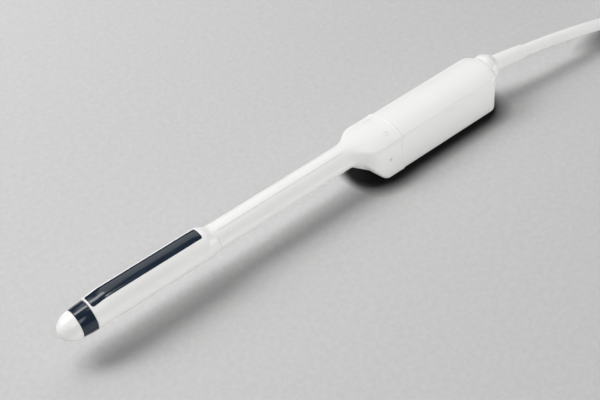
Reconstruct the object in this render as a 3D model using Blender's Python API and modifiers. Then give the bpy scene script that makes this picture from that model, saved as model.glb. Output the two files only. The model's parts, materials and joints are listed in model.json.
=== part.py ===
"""Biplane ultrasound transducer probe with its cable and system connector.

The probe lies along X with its nose at -X and rests on the flat underside of its handle at Z = 0.
Stations are distances along X from the tip of the nose. All lengths are in metres.
"""

from math import asin
from math import cos
from math import pi
from math import radians
from math import sin
from math import sqrt

import bmesh
import bpy
from mathutils import Matrix
from mathutils import Vector

MM = 0.001

# Clearance between neighbouring pieces
FIT = 0.3 * MM

# Heights of the two axes above the surface that the handle rests on
AXIS_HEIGHT = 23.2 * MM
HEAD_RISE = 1.2 * MM

# Nose cap and transverse lens band
NOSE_LENGTH = 10.5 * MM
NOSE_REAR_RADIUS = 8.3 * MM
NOSE_OVERRUN = 1.5 * MM
NOSE_WALL = 1.8 * MM
NOSE_SPIGOT_LENGTH = 3.0 * MM
NOSE_SPIGOT_WALL = 1.4 * MM
BAND_WIDTH = 8.8 * MM
BAND_WALL = 1.8 * MM
BAND_REAR_RADIUS = 9.0 * MM
BAND_BULGE = 0.15 * MM

# Transverse array inside the band
ARRAY_THICKNESS = 1.0 * MM
ARRAY_GAP_HALF_WIDTH = 4.5 * MM
BOSS_RADIUS = 2.6 * MM

# Scan head
HEAD_LENGTH = 81.1 * MM
HEAD_RADIUS = 9.8 * MM
HEAD_WALL = 2.0 * MM
HEAD_FRONT_WALL = 1.9 * MM
HEAD_TAPER_LENGTH = 11.0 * MM
HEAD_CONE_LENGTH = 8.0 * MM
HEAD_REAR_WALL = 0.8 * MM

# Linear lens window in the top of the scan head
WINDOW_RIM = 1.1 * MM
WINDOW_LENGTH = 71.6 * MM
WINDOW_WIDTH = 9.0 * MM
WINDOW_CORNER = 1.2 * MM
LENS_PROUD = 0.2 * MM
LENS_DEPTH = 3.6 * MM

# Linear array under the lens
LINEAR_ARRAY_LENGTH = 60.0 * MM
LINEAR_ARRAY_WIDTH = 7.0 * MM
LINEAR_ARRAY_THICKNESS = 1.2 * MM
LINEAR_BACKING_DEPTH = 4.0 * MM
FLEX_THICKNESS = 0.3 * MM
CARRIER_CLEARANCE = 0.4 * MM

# Shaft
SHAFT_LENGTH = 95.4 * MM
SHAFT_RADIUS = 8.0 * MM
SHAFT_WALL = 2.1 * MM
SPIGOT_LENGTH = 5.0 * MM
GROOVE_ANGLE = radians(25.5)
GROOVE_WIDTH = 0.4 * MM
GROOVE_DEPTH = 0.3 * MM
GROOVE_END_MARGIN = 2.0 * MM

# Flare from the round shaft to the square collar
FLARE_LENGTH = 24.5 * MM
SIDE_FLARE_LENGTH = 18.5 * MM
BELLY_DELAY = 6.5 * MM
BELLY_BEND = 0.27
FLARE_STEPS = 12

# Collar and handle
COLLAR_LENGTH = 11.3 * MM
COLLAR_PROUD = 0.5 * MM
COLLAR_BEVEL = 0.6 * MM
SLEEVE_LENGTH = 80.7 * MM
HANDLE_WIDTH = 29.6 * MM
CREST_RISE = 7.6 * MM
CROWN_RADIUS = 26.0 * MM
CORNER_RADIUS = 3.2 * MM
HANDLE_WALL = 2.2 * MM
REAR_FILLET = 5.5 * MM
REAR_CREST_SHARE = 0.18
INNER_SPIGOT_LENGTH = 14.8 * MM

# Gasket groove round the handle's inner spigot
GASKET_SETBACK = 2.6 * MM
GASKET_WIDTH = 1.4 * MM
GASKET_DEPTH = 0.8 * MM

# Small screw plugs in the collar
PLUG_RADIUS = 1.5 * MM
PLUG_HEIGHT = 1.3 * MM
PLUG_SHANK_RADIUS = 0.8 * MM
PLUG_SHANK_LENGTH = 3.2 * MM
TOP_PLUG_SETBACK = 8.2 * MM
SIDE_PLUG_SETBACK = 11.7 * MM
TOP_PLUG_SPREAD = 8.1 * MM
SIDE_PLUG_HEIGHT = 16.1 * MM

# Inner bulkhead, electronics and cable clamp
BULKHEAD_THICKNESS = 6.0 * MM
BUNDLE_RADIUS = 3.2 * MM
BUNDLE_RISE_LENGTH = 10.0 * MM
BUNDLE_RISE_SHARE = 0.7
BUNDLE_END_LENGTH = 4.0 * MM
CORE_RADIUS = 2.8 * MM
CORE_RISE_SHARE = 0.4
CORE_HEIGHT = 16.0 * MM
BOARD_LENGTH = 34.0 * MM
BOARD_WIDTH = 19.0 * MM
BOARD_THICKNESS = 1.6 * MM
BOARD_SETBACK = 10.0 * MM
CRADLE_HEIGHT = 4.6 * MM
CRADLE_WALL = 2.0 * MM
FRONT_SOCKET_SIZE = (5.0 * MM, 15.0 * MM, 12.0 * MM)
REAR_SOCKET_SIZE = (5.0 * MM, 15.0 * MM, 10.0 * MM)
SHIELD_WALL = 0.8 * MM
SHIELD_HEIGHT = 5.0 * MM
CLAMP_LENGTH = 8.0 * MM
CLAMP_WIDTH = 17.0 * MM
CLAMP_TOP = 21.0 * MM
CLAMP_SETBACK = 6.0 * MM
CLAMP_SCREW_RADIUS = 0.9 * MM
CLAMP_SCREW_HEAD_RADIUS = 1.6 * MM
CLAMP_SCREW_HEAD_HEIGHT = 1.2 * MM
CLAMP_SCREW_LENGTH = 8.0 * MM
CLAMP_SCREW_SPREAD = 6.0 * MM

# Gland ring and strain relief boot
RING_LENGTH = 8.7 * MM
RING_RADIUS = 9.2 * MM
RING_REAR_RADIUS = 6.5 * MM
RING_EDGE = 0.6 * MM
RING_CREST_SHARE = 0.42
RING_SHOULDER_SHARE = 0.58
RING_SPIGOT_RADIUS = 5.2 * MM
RING_SPIGOT_LENGTH = 4.3 * MM
RING_SEAT_DEPTH = 6.5 * MM
BOOT_RADIUS = 5.6 * MM
BOOT_END_RADIUS = 4.6 * MM
BOOT_REACH = 24.6 * MM

# Cable, and the long loops of the tied hank that it is put away in
CABLE_RADIUS = 3.9 * MM
HANK_START_X = 307.0 * MM
HANK_RUN = 108.0 * MM
HANK_AXIS_Y = -21.2 * MM
HANK_FOLD_RADIUS = 27.3 * MM
HANK_STRANDS = 2
HANK_LAYERS = 3
HANK_FOLD_STEPS = 12
TIE_LENGTH = 14.0 * MM
TIE_WALL = 1.0 * MM
TIE_CORNER = 2.0 * MM
CONNECTOR_REAR_X = 532.0 * MM
CONNECTOR_AXIS_Y = -20.0 * MM

# System connector
CONNECTOR_LENGTH = 84.0 * MM
CONNECTOR_WIDTH = 70.0 * MM
CONNECTOR_HEIGHT = 24.0 * MM
CONNECTOR_CORNER = 6.0 * MM
CONNECTOR_EDGE = 1.6 * MM
CONNECTOR_WALL = 2.4 * MM
CONNECTOR_POST = 9.0 * MM
CONNECTOR_MOUTH_LIP = 2.0 * MM
SHROUD_WIDTH = 46.0 * MM
SHROUD_HEIGHT = 14.0 * MM
SHROUD_WALL = 1.2 * MM
SHROUD_LENGTH = 20.0 * MM
SHROUD_REACH = 9.0 * MM
CONTACT_ROWS = 2
CONTACT_COLUMNS = 20
CONTACT_PITCH = 2.0 * MM
CONTACT_ROW_PITCH = 4.4 * MM
CONTACT_SLOT = (1.2 * MM, 2.6 * MM)
CONTACT_SLOT_DEPTH = 2.0 * MM
CONTACT_BLOCK_LENGTH = 14.0 * MM
CONNECTOR_BOARD_LENGTH = 44.0 * MM
CONNECTOR_SCREW_RADIUS = 1.4 * MM
CONNECTOR_SCREW_HEAD_RADIUS = 2.6 * MM
CONNECTOR_SCREW_HEAD_HEIGHT = 1.8 * MM
CONNECTOR_SCREW_LENGTH = 16.0 * MM
CONNECTOR_SCREW_X = 35.5 * MM
CONNECTOR_SCREW_Y = 29.0 * MM
CONNECTOR_BOOT_LENGTH = 27.0 * MM
CONNECTOR_BOOT_RADIUS = 6.6 * MM
CONNECTOR_BOOT_END_RADIUS = 4.7 * MM
CONNECTOR_BOOT_FLANGE = 1.6 * MM
GRIP_COUNT = 7
GRIP_PITCH = 3.4 * MM
GRIP_WIDTH = 1.2 * MM
GRIP_DEPTH = 0.8 * MM
GRIP_BOTTOM_SHARE = 0.58
GRIP_TOP_SHARE = 0.85
CONNECTOR_BOARD_HALF_WIDTH = SHROUD_WIDTH / 3.0
CUTTER_REACH = 2.0 * MM

# Facets round turned pieces
ROUND_STEPS = 32
BOOT_STEPS = 24
SMALL_STEPS = 16

# Stations along the probe
HEAD_START = NOSE_LENGTH + FIT + BAND_WIDTH + FIT
HEAD_END = HEAD_START + HEAD_LENGTH
SHAFT_START = HEAD_END + FIT
FLARE_START = SHAFT_START + SHAFT_LENGTH
COLLAR_START = FLARE_START + FLARE_LENGTH
COLLAR_END = COLLAR_START + COLLAR_LENGTH
SLEEVE_START = COLLAR_END + FIT
SLEEVE_END = SLEEVE_START + SLEEVE_LENGTH
RING_START = SLEEVE_END + FIT
RING_END = RING_START + RING_LENGTH
BODY_LENGTH = RING_END + BOOT_REACH
HEAD_HEIGHT = AXIS_HEIGHT + HEAD_RISE
HEAD_BORE = HEAD_RADIUS - HEAD_WALL
WINDOW_START = HEAD_START + WINDOW_RIM
WINDOW_END = WINDOW_START + WINDOW_LENGTH
LENS_BOTTOM = HEAD_HEIGHT + HEAD_RADIUS - LENS_DEPTH
HANDLE_CREST = AXIS_HEIGHT + CREST_RISE
COLLAR_CREST = HANDLE_CREST + COLLAR_PROUD
BORE_RADIUS = SHAFT_RADIUS - SHAFT_WALL
SPIGOT_FRONT = SLEEVE_START - INNER_SPIGOT_LENGTH
BULKHEAD_END = SPIGOT_FRONT - FIT
BULKHEAD_START = BULKHEAD_END - BULKHEAD_THICKNESS
BOARD_START = SLEEVE_START + BOARD_SETBACK
BOARD_END = BOARD_START + BOARD_LENGTH
BOARD_BOTTOM = HANDLE_WALL + FIT + CRADLE_HEIGHT + FIT
BOARD_TOP = BOARD_BOTTOM + BOARD_THICKNESS
CLAMP_START = BOARD_END + CLAMP_SETBACK
CLAMP_END = CLAMP_START + CLAMP_LENGTH

CABLE_PITCH = 2.0 * CABLE_RADIUS
HANK_BOTTOM = TIE_WALL + FIT
HANK_TOP = HANK_BOTTOM + HANK_LAYERS * CABLE_PITCH
HANK_HALF_THICKNESS = HANK_STRANDS * CABLE_PITCH / 2.0
TAIL_HEIGHT = HANK_TOP + FIT + CABLE_RADIUS

# Hand-chosen points of the route, from the gland to the hank and over it to the connector
BOOT_ROUTE = (
    (RING_END - RING_SEAT_DEPTH + FIT - BODY_LENGTH / 2, 0.0, AXIS_HEIGHT),
    (RING_END - BODY_LENGTH / 2, -0.3 * MM, AXIS_HEIGHT),
    (161.4 * MM, -1.9 * MM, 22.9 * MM),
    (172.8 * MM, -3.6 * MM, 22.4 * MM),
)
LEAD_ROUTE = (
    (173.2 * MM, -3.6 * MM, 22.4 * MM),
    (198.2 * MM, -6.8 * MM, 19.9 * MM),
    (219.1 * MM, -10.0 * MM, 17.4 * MM),
    (238.7 * MM, -12.4 * MM, 14.0 * MM),
    (254.0 * MM, -12.2 * MM, 10.4 * MM),
    (272.0 * MM, -6.5 * MM, 6.8 * MM),
)
TAIL_ROUTE = (
    (438.5 * MM, -8.4 * MM, TAIL_HEIGHT),
    (451.0 * MM, -12.1 * MM, 28.5 * MM),
    (467.0 * MM, -16.2 * MM, 23.6 * MM),
    (483.0 * MM, -19.1 * MM, 15.8 * MM),
    (495.0 * MM, CONNECTOR_AXIS_Y, 12.6 * MM),
    (
        CONNECTOR_REAR_X - CONNECTOR_BOOT_LENGTH - FIT, CONNECTOR_AXIS_Y,
        CONNECTOR_HEIGHT / 2.0,
    ),
)
ROUTE_STEPS = 2

# Directions of the outline normals, which every section of the housing shares
CROWN_NORMALS = [radians(angle) for angle in range(-22, 23, 11)]
CORNER_NORMALS = [radians(32 + 54 * step / 4) for step in range(5)]
FOOT_NORMALS = [radians(94 + 85 * step / 6) for step in range(7)]
SIDE_NORMALS = CORNER_NORMALS + FOOT_NORMALS
NORMALS = CROWN_NORMALS + SIDE_NORMALS + [-angle for angle in reversed(SIDE_NORMALS)]


def clear_scene():
    for item in list(bpy.data.objects):
        bpy.data.objects.remove(item, do_unlink=True)


def new_collection(name):
    collection = bpy.data.collections.new(name)
    bpy.context.scene.collection.children.link(collection)
    return collection


def material(name, colour, roughness, metallic=0.0):
    look = bpy.data.materials.new(name)
    look.use_nodes = True
    shader = look.node_tree.nodes["Principled BSDF"]
    shader.inputs["Base Color"].default_value = (*colour, 1.0)
    shader.inputs["Roughness"].default_value = roughness
    shader.inputs["Metallic"].default_value = metallic
    look.diffuse_color = (*colour, 1.0)
    return look


clear_scene()
PARTS = new_collection("ultrasound_probe")
CUTTERS = new_collection("cutters")

WHITE_SHELL = material("white_shell", (0.86, 0.86, 0.84), 0.35)
LENS_RUBBER = material("lens_rubber", (0.035, 0.045, 0.06), 0.25)
CERAMIC = material("ceramic", (0.45, 0.40, 0.32), 0.6)
BACKING = material("backing", (0.08, 0.08, 0.08), 0.8)
FLEX_FILM = material("flex_film", (0.55, 0.28, 0.05), 0.4)
FRAME_PLASTIC = material("frame_plastic", (0.25, 0.26, 0.27), 0.6)
BUNDLE_JACKET = material("bundle_jacket", (0.20, 0.22, 0.26), 0.6)
GASKET_RUBBER = material("gasket_rubber", (0.06, 0.06, 0.06), 0.8)
BOARD_GREEN = material("board_green", (0.03, 0.20, 0.08), 0.5)
SOCKET_BLACK = material("socket_black", (0.04, 0.04, 0.04), 0.5)
STEEL = material("steel", (0.60, 0.60, 0.60), 0.3, 1.0)
CABLE_WHITE = material("cable_white", (0.82, 0.82, 0.80), 0.45)
CONNECTOR_GREY = material("connector_grey", (0.72, 0.73, 0.72), 0.5)
TIE_STRAP = material("tie_strap", (0.05, 0.05, 0.055), 0.8)


def at(station):
    return station - BODY_LENGTH / 2


def mix(first, second, share):
    return first + (second - first) * share


def eased(share, bend):
    """A straight ramp from 0 to 1 with its two ends rounded over the share called bend."""
    share = min(max(share, 0.0), 1.0)
    scale = 2.0 * bend * (1.0 - bend)
    if share < bend:
        return share * share / scale
    if share > 1.0 - bend:
        return 1.0 - (1.0 - share) ** 2 / scale
    return (share - bend / 2.0) / (1.0 - bend)


def add_object(name, data, look, collection=PARTS):
    item = bpy.data.objects.new(name, data)
    collection.objects.link(item)
    if look:
        data.materials.append(look)
    return item


def add_mesh(name, shape, look, smooth_angle=radians(30)):
    """Turns a bmesh into an object, or into a cutter where there is no material."""
    bmesh.ops.recalc_face_normals(shape, faces=shape.faces)
    data = bpy.data.meshes.new(name)
    shape.to_mesh(data)
    shape.free()
    if smooth_angle:
        data.shade_smooth()
        data.set_sharp_from_angle(angle=smooth_angle)
    item = add_object(name, data, look, PARTS if look else CUTTERS)
    if not look:
        item.hide_render = True
        item.display_type = "WIRE"
    return item


def turned(name, outline, look, steps=ROUND_STEPS, origin=(0.0, 0.0, 0.0), upright=False):
    """Turns (height, radius) points about an axis along X, or along Z where upright.

    The outline runs down the outer side and back up the inner side. It is closed unless both of
    its ends lie on the axis.
    """
    data = bpy.data.meshes.new(name)
    points = [(radius, 0.0, height) for height, radius in outline]
    edges = [(index, index + 1) for index in range(len(points) - 1)]
    if outline[0][1] > 0.0 or outline[-1][1] > 0.0:
        edges.append((len(points) - 1, 0))
    data.from_pydata(points, edges, [])
    item = add_object(name, data, None, CUTTERS)
    screw = item.modifiers.new("turn", "SCREW")
    screw.steps = steps
    screw.render_steps = steps
    screw.use_merge_vertices = True
    screw.merge_threshold = 0.01 * MM
    graph = bpy.context.evaluated_depsgraph_get()
    solid = bpy.data.meshes.new_from_object(item.evaluated_get(graph))
    bpy.data.objects.remove(item, do_unlink=True)
    shape = bmesh.new()
    shape.from_mesh(solid)
    bpy.data.meshes.remove(solid)
    piece = add_mesh(name, shape, look)
    if not upright:
        piece.rotation_euler = (0.0, pi / 2.0, 0.0)
    piece.location = origin
    return piece


def block(name, low, high, look, edge=0.0, segments=2):
    """A box between two corners, with all its edges rounded by a bevel."""
    shape = bmesh.new()
    size = [high[axis] - low[axis] for axis in range(3)]
    middle = [(high[axis] + low[axis]) / 2.0 for axis in range(3)]
    scale = Matrix.Diagonal((*size, 1.0))
    bmesh.ops.create_cube(shape, size=1.0, matrix=scale)
    item = add_mesh(name, shape, look, smooth_angle=0.0)
    item.location = middle
    if edge:
        bevel = item.modifiers.new("edges", "BEVEL")
        bevel.width = edge
        bevel.segments = segments
    return item


def rounded_plate(name, low, high, look, corner, edge=0.0, segments=5):
    """A box whose upright edges have the corner radius, with an optional bevel round its rims."""
    shape = bmesh.new()
    size = [high[axis] - low[axis] for axis in range(3)]
    middle = [(high[axis] + low[axis]) / 2.0 for axis in range(3)]
    bmesh.ops.create_cube(shape, size=1.0, matrix=Matrix.Diagonal((*size, 1.0)))
    upright = [
        side for side in shape.edges
        if abs(side.verts[0].co.x - side.verts[1].co.x) < FIT
        and abs(side.verts[0].co.y - side.verts[1].co.y) < FIT
    ]
    bmesh.ops.bevel(
        shape, geom=upright, offset=corner, segments=segments, affect="EDGES", profile=0.5
    )
    item = add_mesh(name, shape, look)
    item.location = middle
    if edge:
        bevel = item.modifiers.new("rims", "BEVEL")
        bevel.width = edge
        bevel.segments = 2
        bevel.angle_limit = radians(40)
    return item


def lofted(name, rings, look):
    """A closed shell through rings of equally many points, the last joined to the first."""
    shape = bmesh.new()
    rows = [[shape.verts.new(point) for point in ring] for ring in rings]
    count = len(rows[0])
    for row, following in zip(rows, rows[1:] + rows[:1]):
        for index in range(count):
            after = (index + 1) % count
            shape.faces.new((row[index], row[after], following[after], following[index]))
    return add_mesh(name, shape, look)


def capped_loft(name, rings, look):
    """A solid through rings of equally many points, with flat faces at both ends."""
    shape = bmesh.new()
    rows = [[shape.verts.new(point) for point in ring] for ring in rings]
    count = len(rows[0])
    for row, following in zip(rows, rows[1:]):
        for index in range(count):
            after = (index + 1) % count
            shape.faces.new((row[index], row[after], following[after], following[index]))
    shape.faces.new(rows[0])
    shape.faces.new(rows[-1])
    return add_mesh(name, shape, look)


def boolean(item, other, operation):
    step = item.modifiers.new(other.name, "BOOLEAN")
    step.operation = operation
    step.solver = "EXACT"
    step.object = other


def cut(item, cutter):
    boolean(item, cutter, "DIFFERENCE")


def tube(name, points, radius, look, end_radius=None, sides=2):
    """A round tube along a smooth curve through the points, with its radius tapering to the end."""
    route = smooth_route(points, ROUTE_STEPS)
    data = bpy.data.curves.new(name, "CURVE")
    data.dimensions = "3D"
    data.bevel_depth = radius
    data.bevel_resolution = sides
    data.use_fill_caps = True
    spline = data.splines.new("POLY")
    spline.points.add(len(route) - 1)
    share = (end_radius or radius) / radius
    for index, point in enumerate(route):
        spline.points[index].co = (*point, 1.0)
        spline.points[index].radius = mix(1.0, share, index / (len(route) - 1))
    return add_object(name, data, look)


def smooth_route(points, steps):
    """Points of the Catmull-Rom curve through the given points, with steps to each span."""
    fixed = [Vector(point) for point in points]
    padded = [2 * fixed[0] - fixed[1], *fixed, 2 * fixed[-1] - fixed[-2]]
    route = []
    for index in range(1, len(padded) - 2):
        before, start, end, after = padded[index - 1:index + 3]
        for step in range(steps):
            share = step / steps
            bend = 2 * start + (end - before) * share
            bend += (2 * before - 5 * start + 4 * end - after) * share ** 2
            bend += (3 * start - before - 3 * end + after) * share ** 3
            route.append(bend / 2)
    route.append(fixed[-1])
    return route


def outline_point(normal, half_width, crest, bottom, crown, corner, foot):
    """The point of a convex housing outline that faces in the direction of the normal.

    The outline has a crowned top, two upper corners, upright sides, two lower corners and a flat
    bottom. The normal is an angle from straight up.
    """
    side = 1.0 if normal >= 0.0 else -1.0
    turn = abs(normal)
    reach = half_width - corner
    swing = crown - corner
    limit = asin(min(reach / swing, 1.0)) if swing > 0.01 * MM else 0.0
    if turn <= limit:
        return side * crown * sin(turn), crest - crown + crown * cos(turn)
    if turn <= pi / 2.0:
        drop = crest - crown + swing * cos(limit)
        return side * (reach + corner * sin(turn)), drop + corner * cos(turn)
    return (
        side * (half_width - foot + foot * sin(turn)),
        bottom + foot + foot * cos(turn),
    )


def section(station, half_width, crest, bottom, crown, corner, foot):
    sizes = (half_width, crest, bottom, crown, max(corner, 0.5 * MM), max(foot, 0.5 * MM))
    return [(at(station), *outline_point(normal, *sizes)) for normal in NORMALS]


def circle(station, radius, height):
    return [
        (at(station), radius * sin(normal), height + radius * cos(normal)) for normal in NORMALS
    ]


def housing_section(station, inset=0.0):
    """The outline of the shaft, flare and collar at a station, inset all round."""
    wide = eased((station - FLARE_START) / SIDE_FLARE_LENGTH, 0.5)
    deep = eased((station - FLARE_START - BELLY_DELAY) / (FLARE_LENGTH - BELLY_DELAY), BELLY_BEND)
    half_width = mix(SHAFT_RADIUS, HANDLE_WIDTH / 2.0 + COLLAR_PROUD, wide)
    crest = mix(AXIS_HEIGHT + SHAFT_RADIUS, COLLAR_CREST, wide)
    bottom = mix(AXIS_HEIGHT - SHAFT_RADIUS, 0.0, deep)
    crown = mix(SHAFT_RADIUS, CROWN_RADIUS, wide)
    corner = mix(SHAFT_RADIUS, CORNER_RADIUS, wide)
    return section(
        station, half_width - inset, crest - inset, bottom + inset, crown - inset,
        corner - inset, corner - inset,
    )


def housing_wall(station):
    wide = eased((station - FLARE_START) / SIDE_FLARE_LENGTH, 0.5)
    return mix(SHAFT_WALL, HANDLE_WALL, wide)


def sleeve_section(station, inset=0.0, crest_inset=None):
    crest_inset = inset if crest_inset is None else crest_inset
    return section(
        station, HANDLE_WIDTH / 2.0 - inset, HANDLE_CREST - crest_inset, inset,
        CROWN_RADIUS - inset, CORNER_RADIUS - inset, CORNER_RADIUS - inset,
    )


def crest_height(crest, offset):
    """Height of the crowned top at a distance to the side of its middle."""
    return crest - CROWN_RADIUS + sqrt(CROWN_RADIUS ** 2 - offset ** 2)


def band_radius(station):
    share = (station - NOSE_LENGTH) / (BAND_WIDTH + 2.0 * FIT)
    bulge = BAND_BULGE * sin(pi * share)
    return mix(NOSE_REAR_RADIUS, BAND_REAR_RADIUS, share) + bulge


BAND_BORE = NOSE_REAR_RADIUS - BAND_WALL + FIT


def make_nose_cap():
    """A hollow half egg with a spigot that fits into the band."""
    centre = NOSE_LENGTH + NOSE_OVERRUN
    full = NOSE_REAR_RADIUS / sqrt(1.0 - (NOSE_OVERRUN / centre) ** 2)
    stretch = NOSE_LENGTH - NOSE_WALL
    spigot = BAND_BORE - FIT
    bore = spigot - NOSE_SPIGOT_WALL
    start = asin(NOSE_OVERRUN / centre)
    outer = []
    for step in range(11):
        turn = mix(start, pi / 2.0, step / 10)
        outer.append((centre - centre * sin(turn), full * cos(turn)))
    outer[-1] = (0.0, 0.0)
    inner = []
    for step in range(6):
        turn = mix(pi / 2.0, 0.0, step / 5)
        inner.append((NOSE_LENGTH - stretch * sin(turn), bore * cos(turn)))
    inner[0] = (NOSE_WALL, 0.0)
    rear = NOSE_LENGTH + NOSE_SPIGOT_LENGTH
    outline = [*inner, (rear, bore), (rear, spigot), (NOSE_LENGTH, spigot), *outer]
    turned("nose_cap", outline, WHITE_SHELL, origin=(at(0.0), 0.0, AXIS_HEIGHT))


def make_transverse_array():
    """The band-shaped lens with the curved array, its backing and their ring-shaped seats."""
    front = NOSE_LENGTH + FIT
    rear = front + BAND_WIDTH
    origin = (at(0.0), 0.0, AXIS_HEIGHT)
    outer = []
    for step in range(5):
        station = mix(rear, front, step / 4)
        outer.append((station, band_radius(station)))
    turned(
        "transverse_lens", [*outer, (front, BAND_BORE), (rear, BAND_BORE)], LENS_RUBBER,
        origin=origin,
    )
    inner_front = NOSE_LENGTH + NOSE_SPIGOT_LENGTH + FIT
    array_outer = BAND_BORE - FIT
    array_inner = array_outer - ARRAY_THICKNESS
    array = turned(
        "transverse_array",
        [(rear, array_outer), (inner_front, array_outer), (inner_front, array_inner),
         (rear, array_inner)],
        CERAMIC, origin=origin,
    )
    cut(array, block(
        "array_gap_cutter",
        (at(inner_front - FIT), -ARRAY_GAP_HALF_WIDTH, AXIS_HEIGHT - 2.0 * array_outer),
        (at(rear + FIT), ARRAY_GAP_HALF_WIDTH, AXIS_HEIGHT),
        None,
    ))
    backing_outer = array_inner - FIT
    backing_inner = BOSS_RADIUS + FIT
    turned(
        "transverse_backing",
        [(rear, backing_outer), (inner_front, backing_outer), (inner_front, backing_inner),
         (rear, backing_inner)],
        BACKING, origin=origin,
    )


def head_stage(station):
    """Outer radius and axis height of the scan head at a station."""
    grown = eased((station - HEAD_START) / HEAD_TAPER_LENGTH, 0.5)
    shrunk = eased((station - HEAD_END + HEAD_CONE_LENGTH) / HEAD_CONE_LENGTH, 0.4)
    radius = mix(BAND_REAR_RADIUS, HEAD_RADIUS, grown)
    height = mix(AXIS_HEIGHT, HEAD_HEIGHT, grown)
    return mix(radius, SHAFT_RADIUS, shrunk), mix(height, AXIS_HEIGHT, shrunk)


def head_stations():
    taper = [HEAD_START + HEAD_TAPER_LENGTH * step / 6 for step in range(7)]
    cone = [HEAD_END - HEAD_CONE_LENGTH * (7 - step) / 7 for step in range(8)]
    return taper + cone


def window_block(name, inset, bottom, look):
    """The window's rounded rectangle in plan, from the given height to clear above the head."""
    return rounded_plate(
        name,
        (at(WINDOW_START) + inset, -WINDOW_WIDTH / 2.0 + inset, bottom),
        (at(WINDOW_END) - inset, WINDOW_WIDTH / 2.0 - inset, HEAD_HEIGHT + 2.0 * HEAD_RADIUS),
        look, WINDOW_CORNER - inset, segments=4,
    )


def make_head():
    """The scan head shell with its window, and the lens that fills the window."""
    outer = []
    proud = []
    for station in head_stations():
        radius, height = head_stage(station)
        outer.append(circle(station, radius, height))
        proud.append(circle(station, radius + LENS_PROUD, height))
    socket = SHAFT_RADIUS - HEAD_REAR_WALL
    socket_front = HEAD_END - SPIGOT_LENGTH - FIT
    inner = [
        circle(HEAD_END, socket, AXIS_HEIGHT),
        circle(socket_front, socket, AXIS_HEIGHT),
        circle(HEAD_END - HEAD_CONE_LENGTH, HEAD_BORE, HEAD_HEIGHT),
        circle(HEAD_START + HEAD_TAPER_LENGTH, HEAD_BORE, HEAD_HEIGHT),
        circle(HEAD_START, BAND_REAR_RADIUS - HEAD_FRONT_WALL, AXIS_HEIGHT),
    ]
    shell = lofted("head_shell", outer + inner, WHITE_SHELL)
    cutter_bottom = HEAD_HEIGHT + WINDOW_WIDTH / 2.0 - FIT
    cut(shell, window_block("window_cutter", 0.0, cutter_bottom, None))
    lens = capped_loft("linear_lens", proud, LENS_RUBBER)
    boolean(lens, window_block("lens_outline", FIT, LENS_BOTTOM, None), "INTERSECT")


def make_linear_array():
    """Element strip, backing and flexible circuits on the carrier under the lens."""
    front = at(HEAD_START + HEAD_TAPER_LENGTH + FIT)
    rear = front + LINEAR_ARRAY_LENGTH
    half = LINEAR_ARRAY_WIDTH / 2.0
    strip_top = LENS_BOTTOM - FIT
    strip_bottom = strip_top - LINEAR_ARRAY_THICKNESS
    backing_top = strip_bottom - FIT
    backing_bottom = backing_top - LINEAR_BACKING_DEPTH
    block("linear_array", (front, -half, strip_bottom), (rear, half, strip_top), CERAMIC)
    block("linear_backing", (front, -half, backing_bottom), (rear, half, backing_top), BACKING)
    for name, side in (("linear_flex_left", 1.0), ("linear_flex_right", -1.0)):
        near = side * (half + FIT)
        far = side * (half + FIT + FLEX_THICKNESS)
        block(
            name, (front, min(near, far), backing_bottom), (rear, max(near, far), backing_top),
            FLEX_FILM,
        )
    make_array_carrier(backing_bottom - FIT)


def make_array_carrier(top):
    """A half-round bar in the head with a boss that carries the transverse array."""
    front = HEAD_START + HEAD_TAPER_LENGTH + FIT
    rear = HEAD_END - HEAD_CONE_LENGTH - FIT
    radius = HEAD_BORE - CARRIER_CLEARANCE
    carrier = turned(
        "array_carrier", [(rear, 0.0), (rear, radius), (front, radius), (front, 0.0)],
        FRAME_PLASTIC, origin=(at(0.0), 0.0, HEAD_HEIGHT),
    )
    boss_front = NOSE_LENGTH + NOSE_SPIGOT_LENGTH
    overlap = front + NOSE_LENGTH
    boss = turned(
        "boss_joiner",
        [(overlap, 0.0), (overlap, BOSS_RADIUS), (boss_front, BOSS_RADIUS), (boss_front, 0.0)],
        None, steps=SMALL_STEPS, origin=(at(0.0), 0.0, AXIS_HEIGHT),
    )
    boolean(carrier, boss, "UNION")
    cut(carrier, block(
        "carrier_top_cutter",
        (at(front - FIT), -2.0 * radius, top),
        (at(rear + FIT), 2.0 * radius, top + 2.0 * radius),
        None,
    ))


def make_shaft_housing():
    """One moulding: spigot, round shaft, flare and the square collar with its screw holes."""
    spigot = SHAFT_RADIUS - HEAD_REAR_WALL - FIT
    spigot_front = SHAFT_START - SPIGOT_LENGTH
    flare = [FLARE_START + FLARE_LENGTH * step / FLARE_STEPS for step in range(FLARE_STEPS + 1)]
    outer = [
        circle(spigot_front, spigot, AXIS_HEIGHT),
        circle(SHAFT_START, spigot, AXIS_HEIGHT),
        circle(SHAFT_START, SHAFT_RADIUS, AXIS_HEIGHT),
    ]
    outer += [housing_section(station) for station in flare]
    outer.append(housing_section(COLLAR_END - COLLAR_BEVEL))
    outer.append(housing_section(COLLAR_END, COLLAR_BEVEL))
    inner = [housing_section(COLLAR_END, HANDLE_WALL)]
    inner += [housing_section(station, housing_wall(station)) for station in flare[::-2]]
    inner.append(circle(SHAFT_START, BORE_RADIUS, AXIS_HEIGHT))
    inner.append(circle(spigot_front, BORE_RADIUS, AXIS_HEIGHT))
    housing = lofted("shaft_housing", outer + inner, WHITE_SHELL)
    for side in (-1.0, 1.0):
        cut(housing, groove_cutter(side))
    return housing


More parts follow.
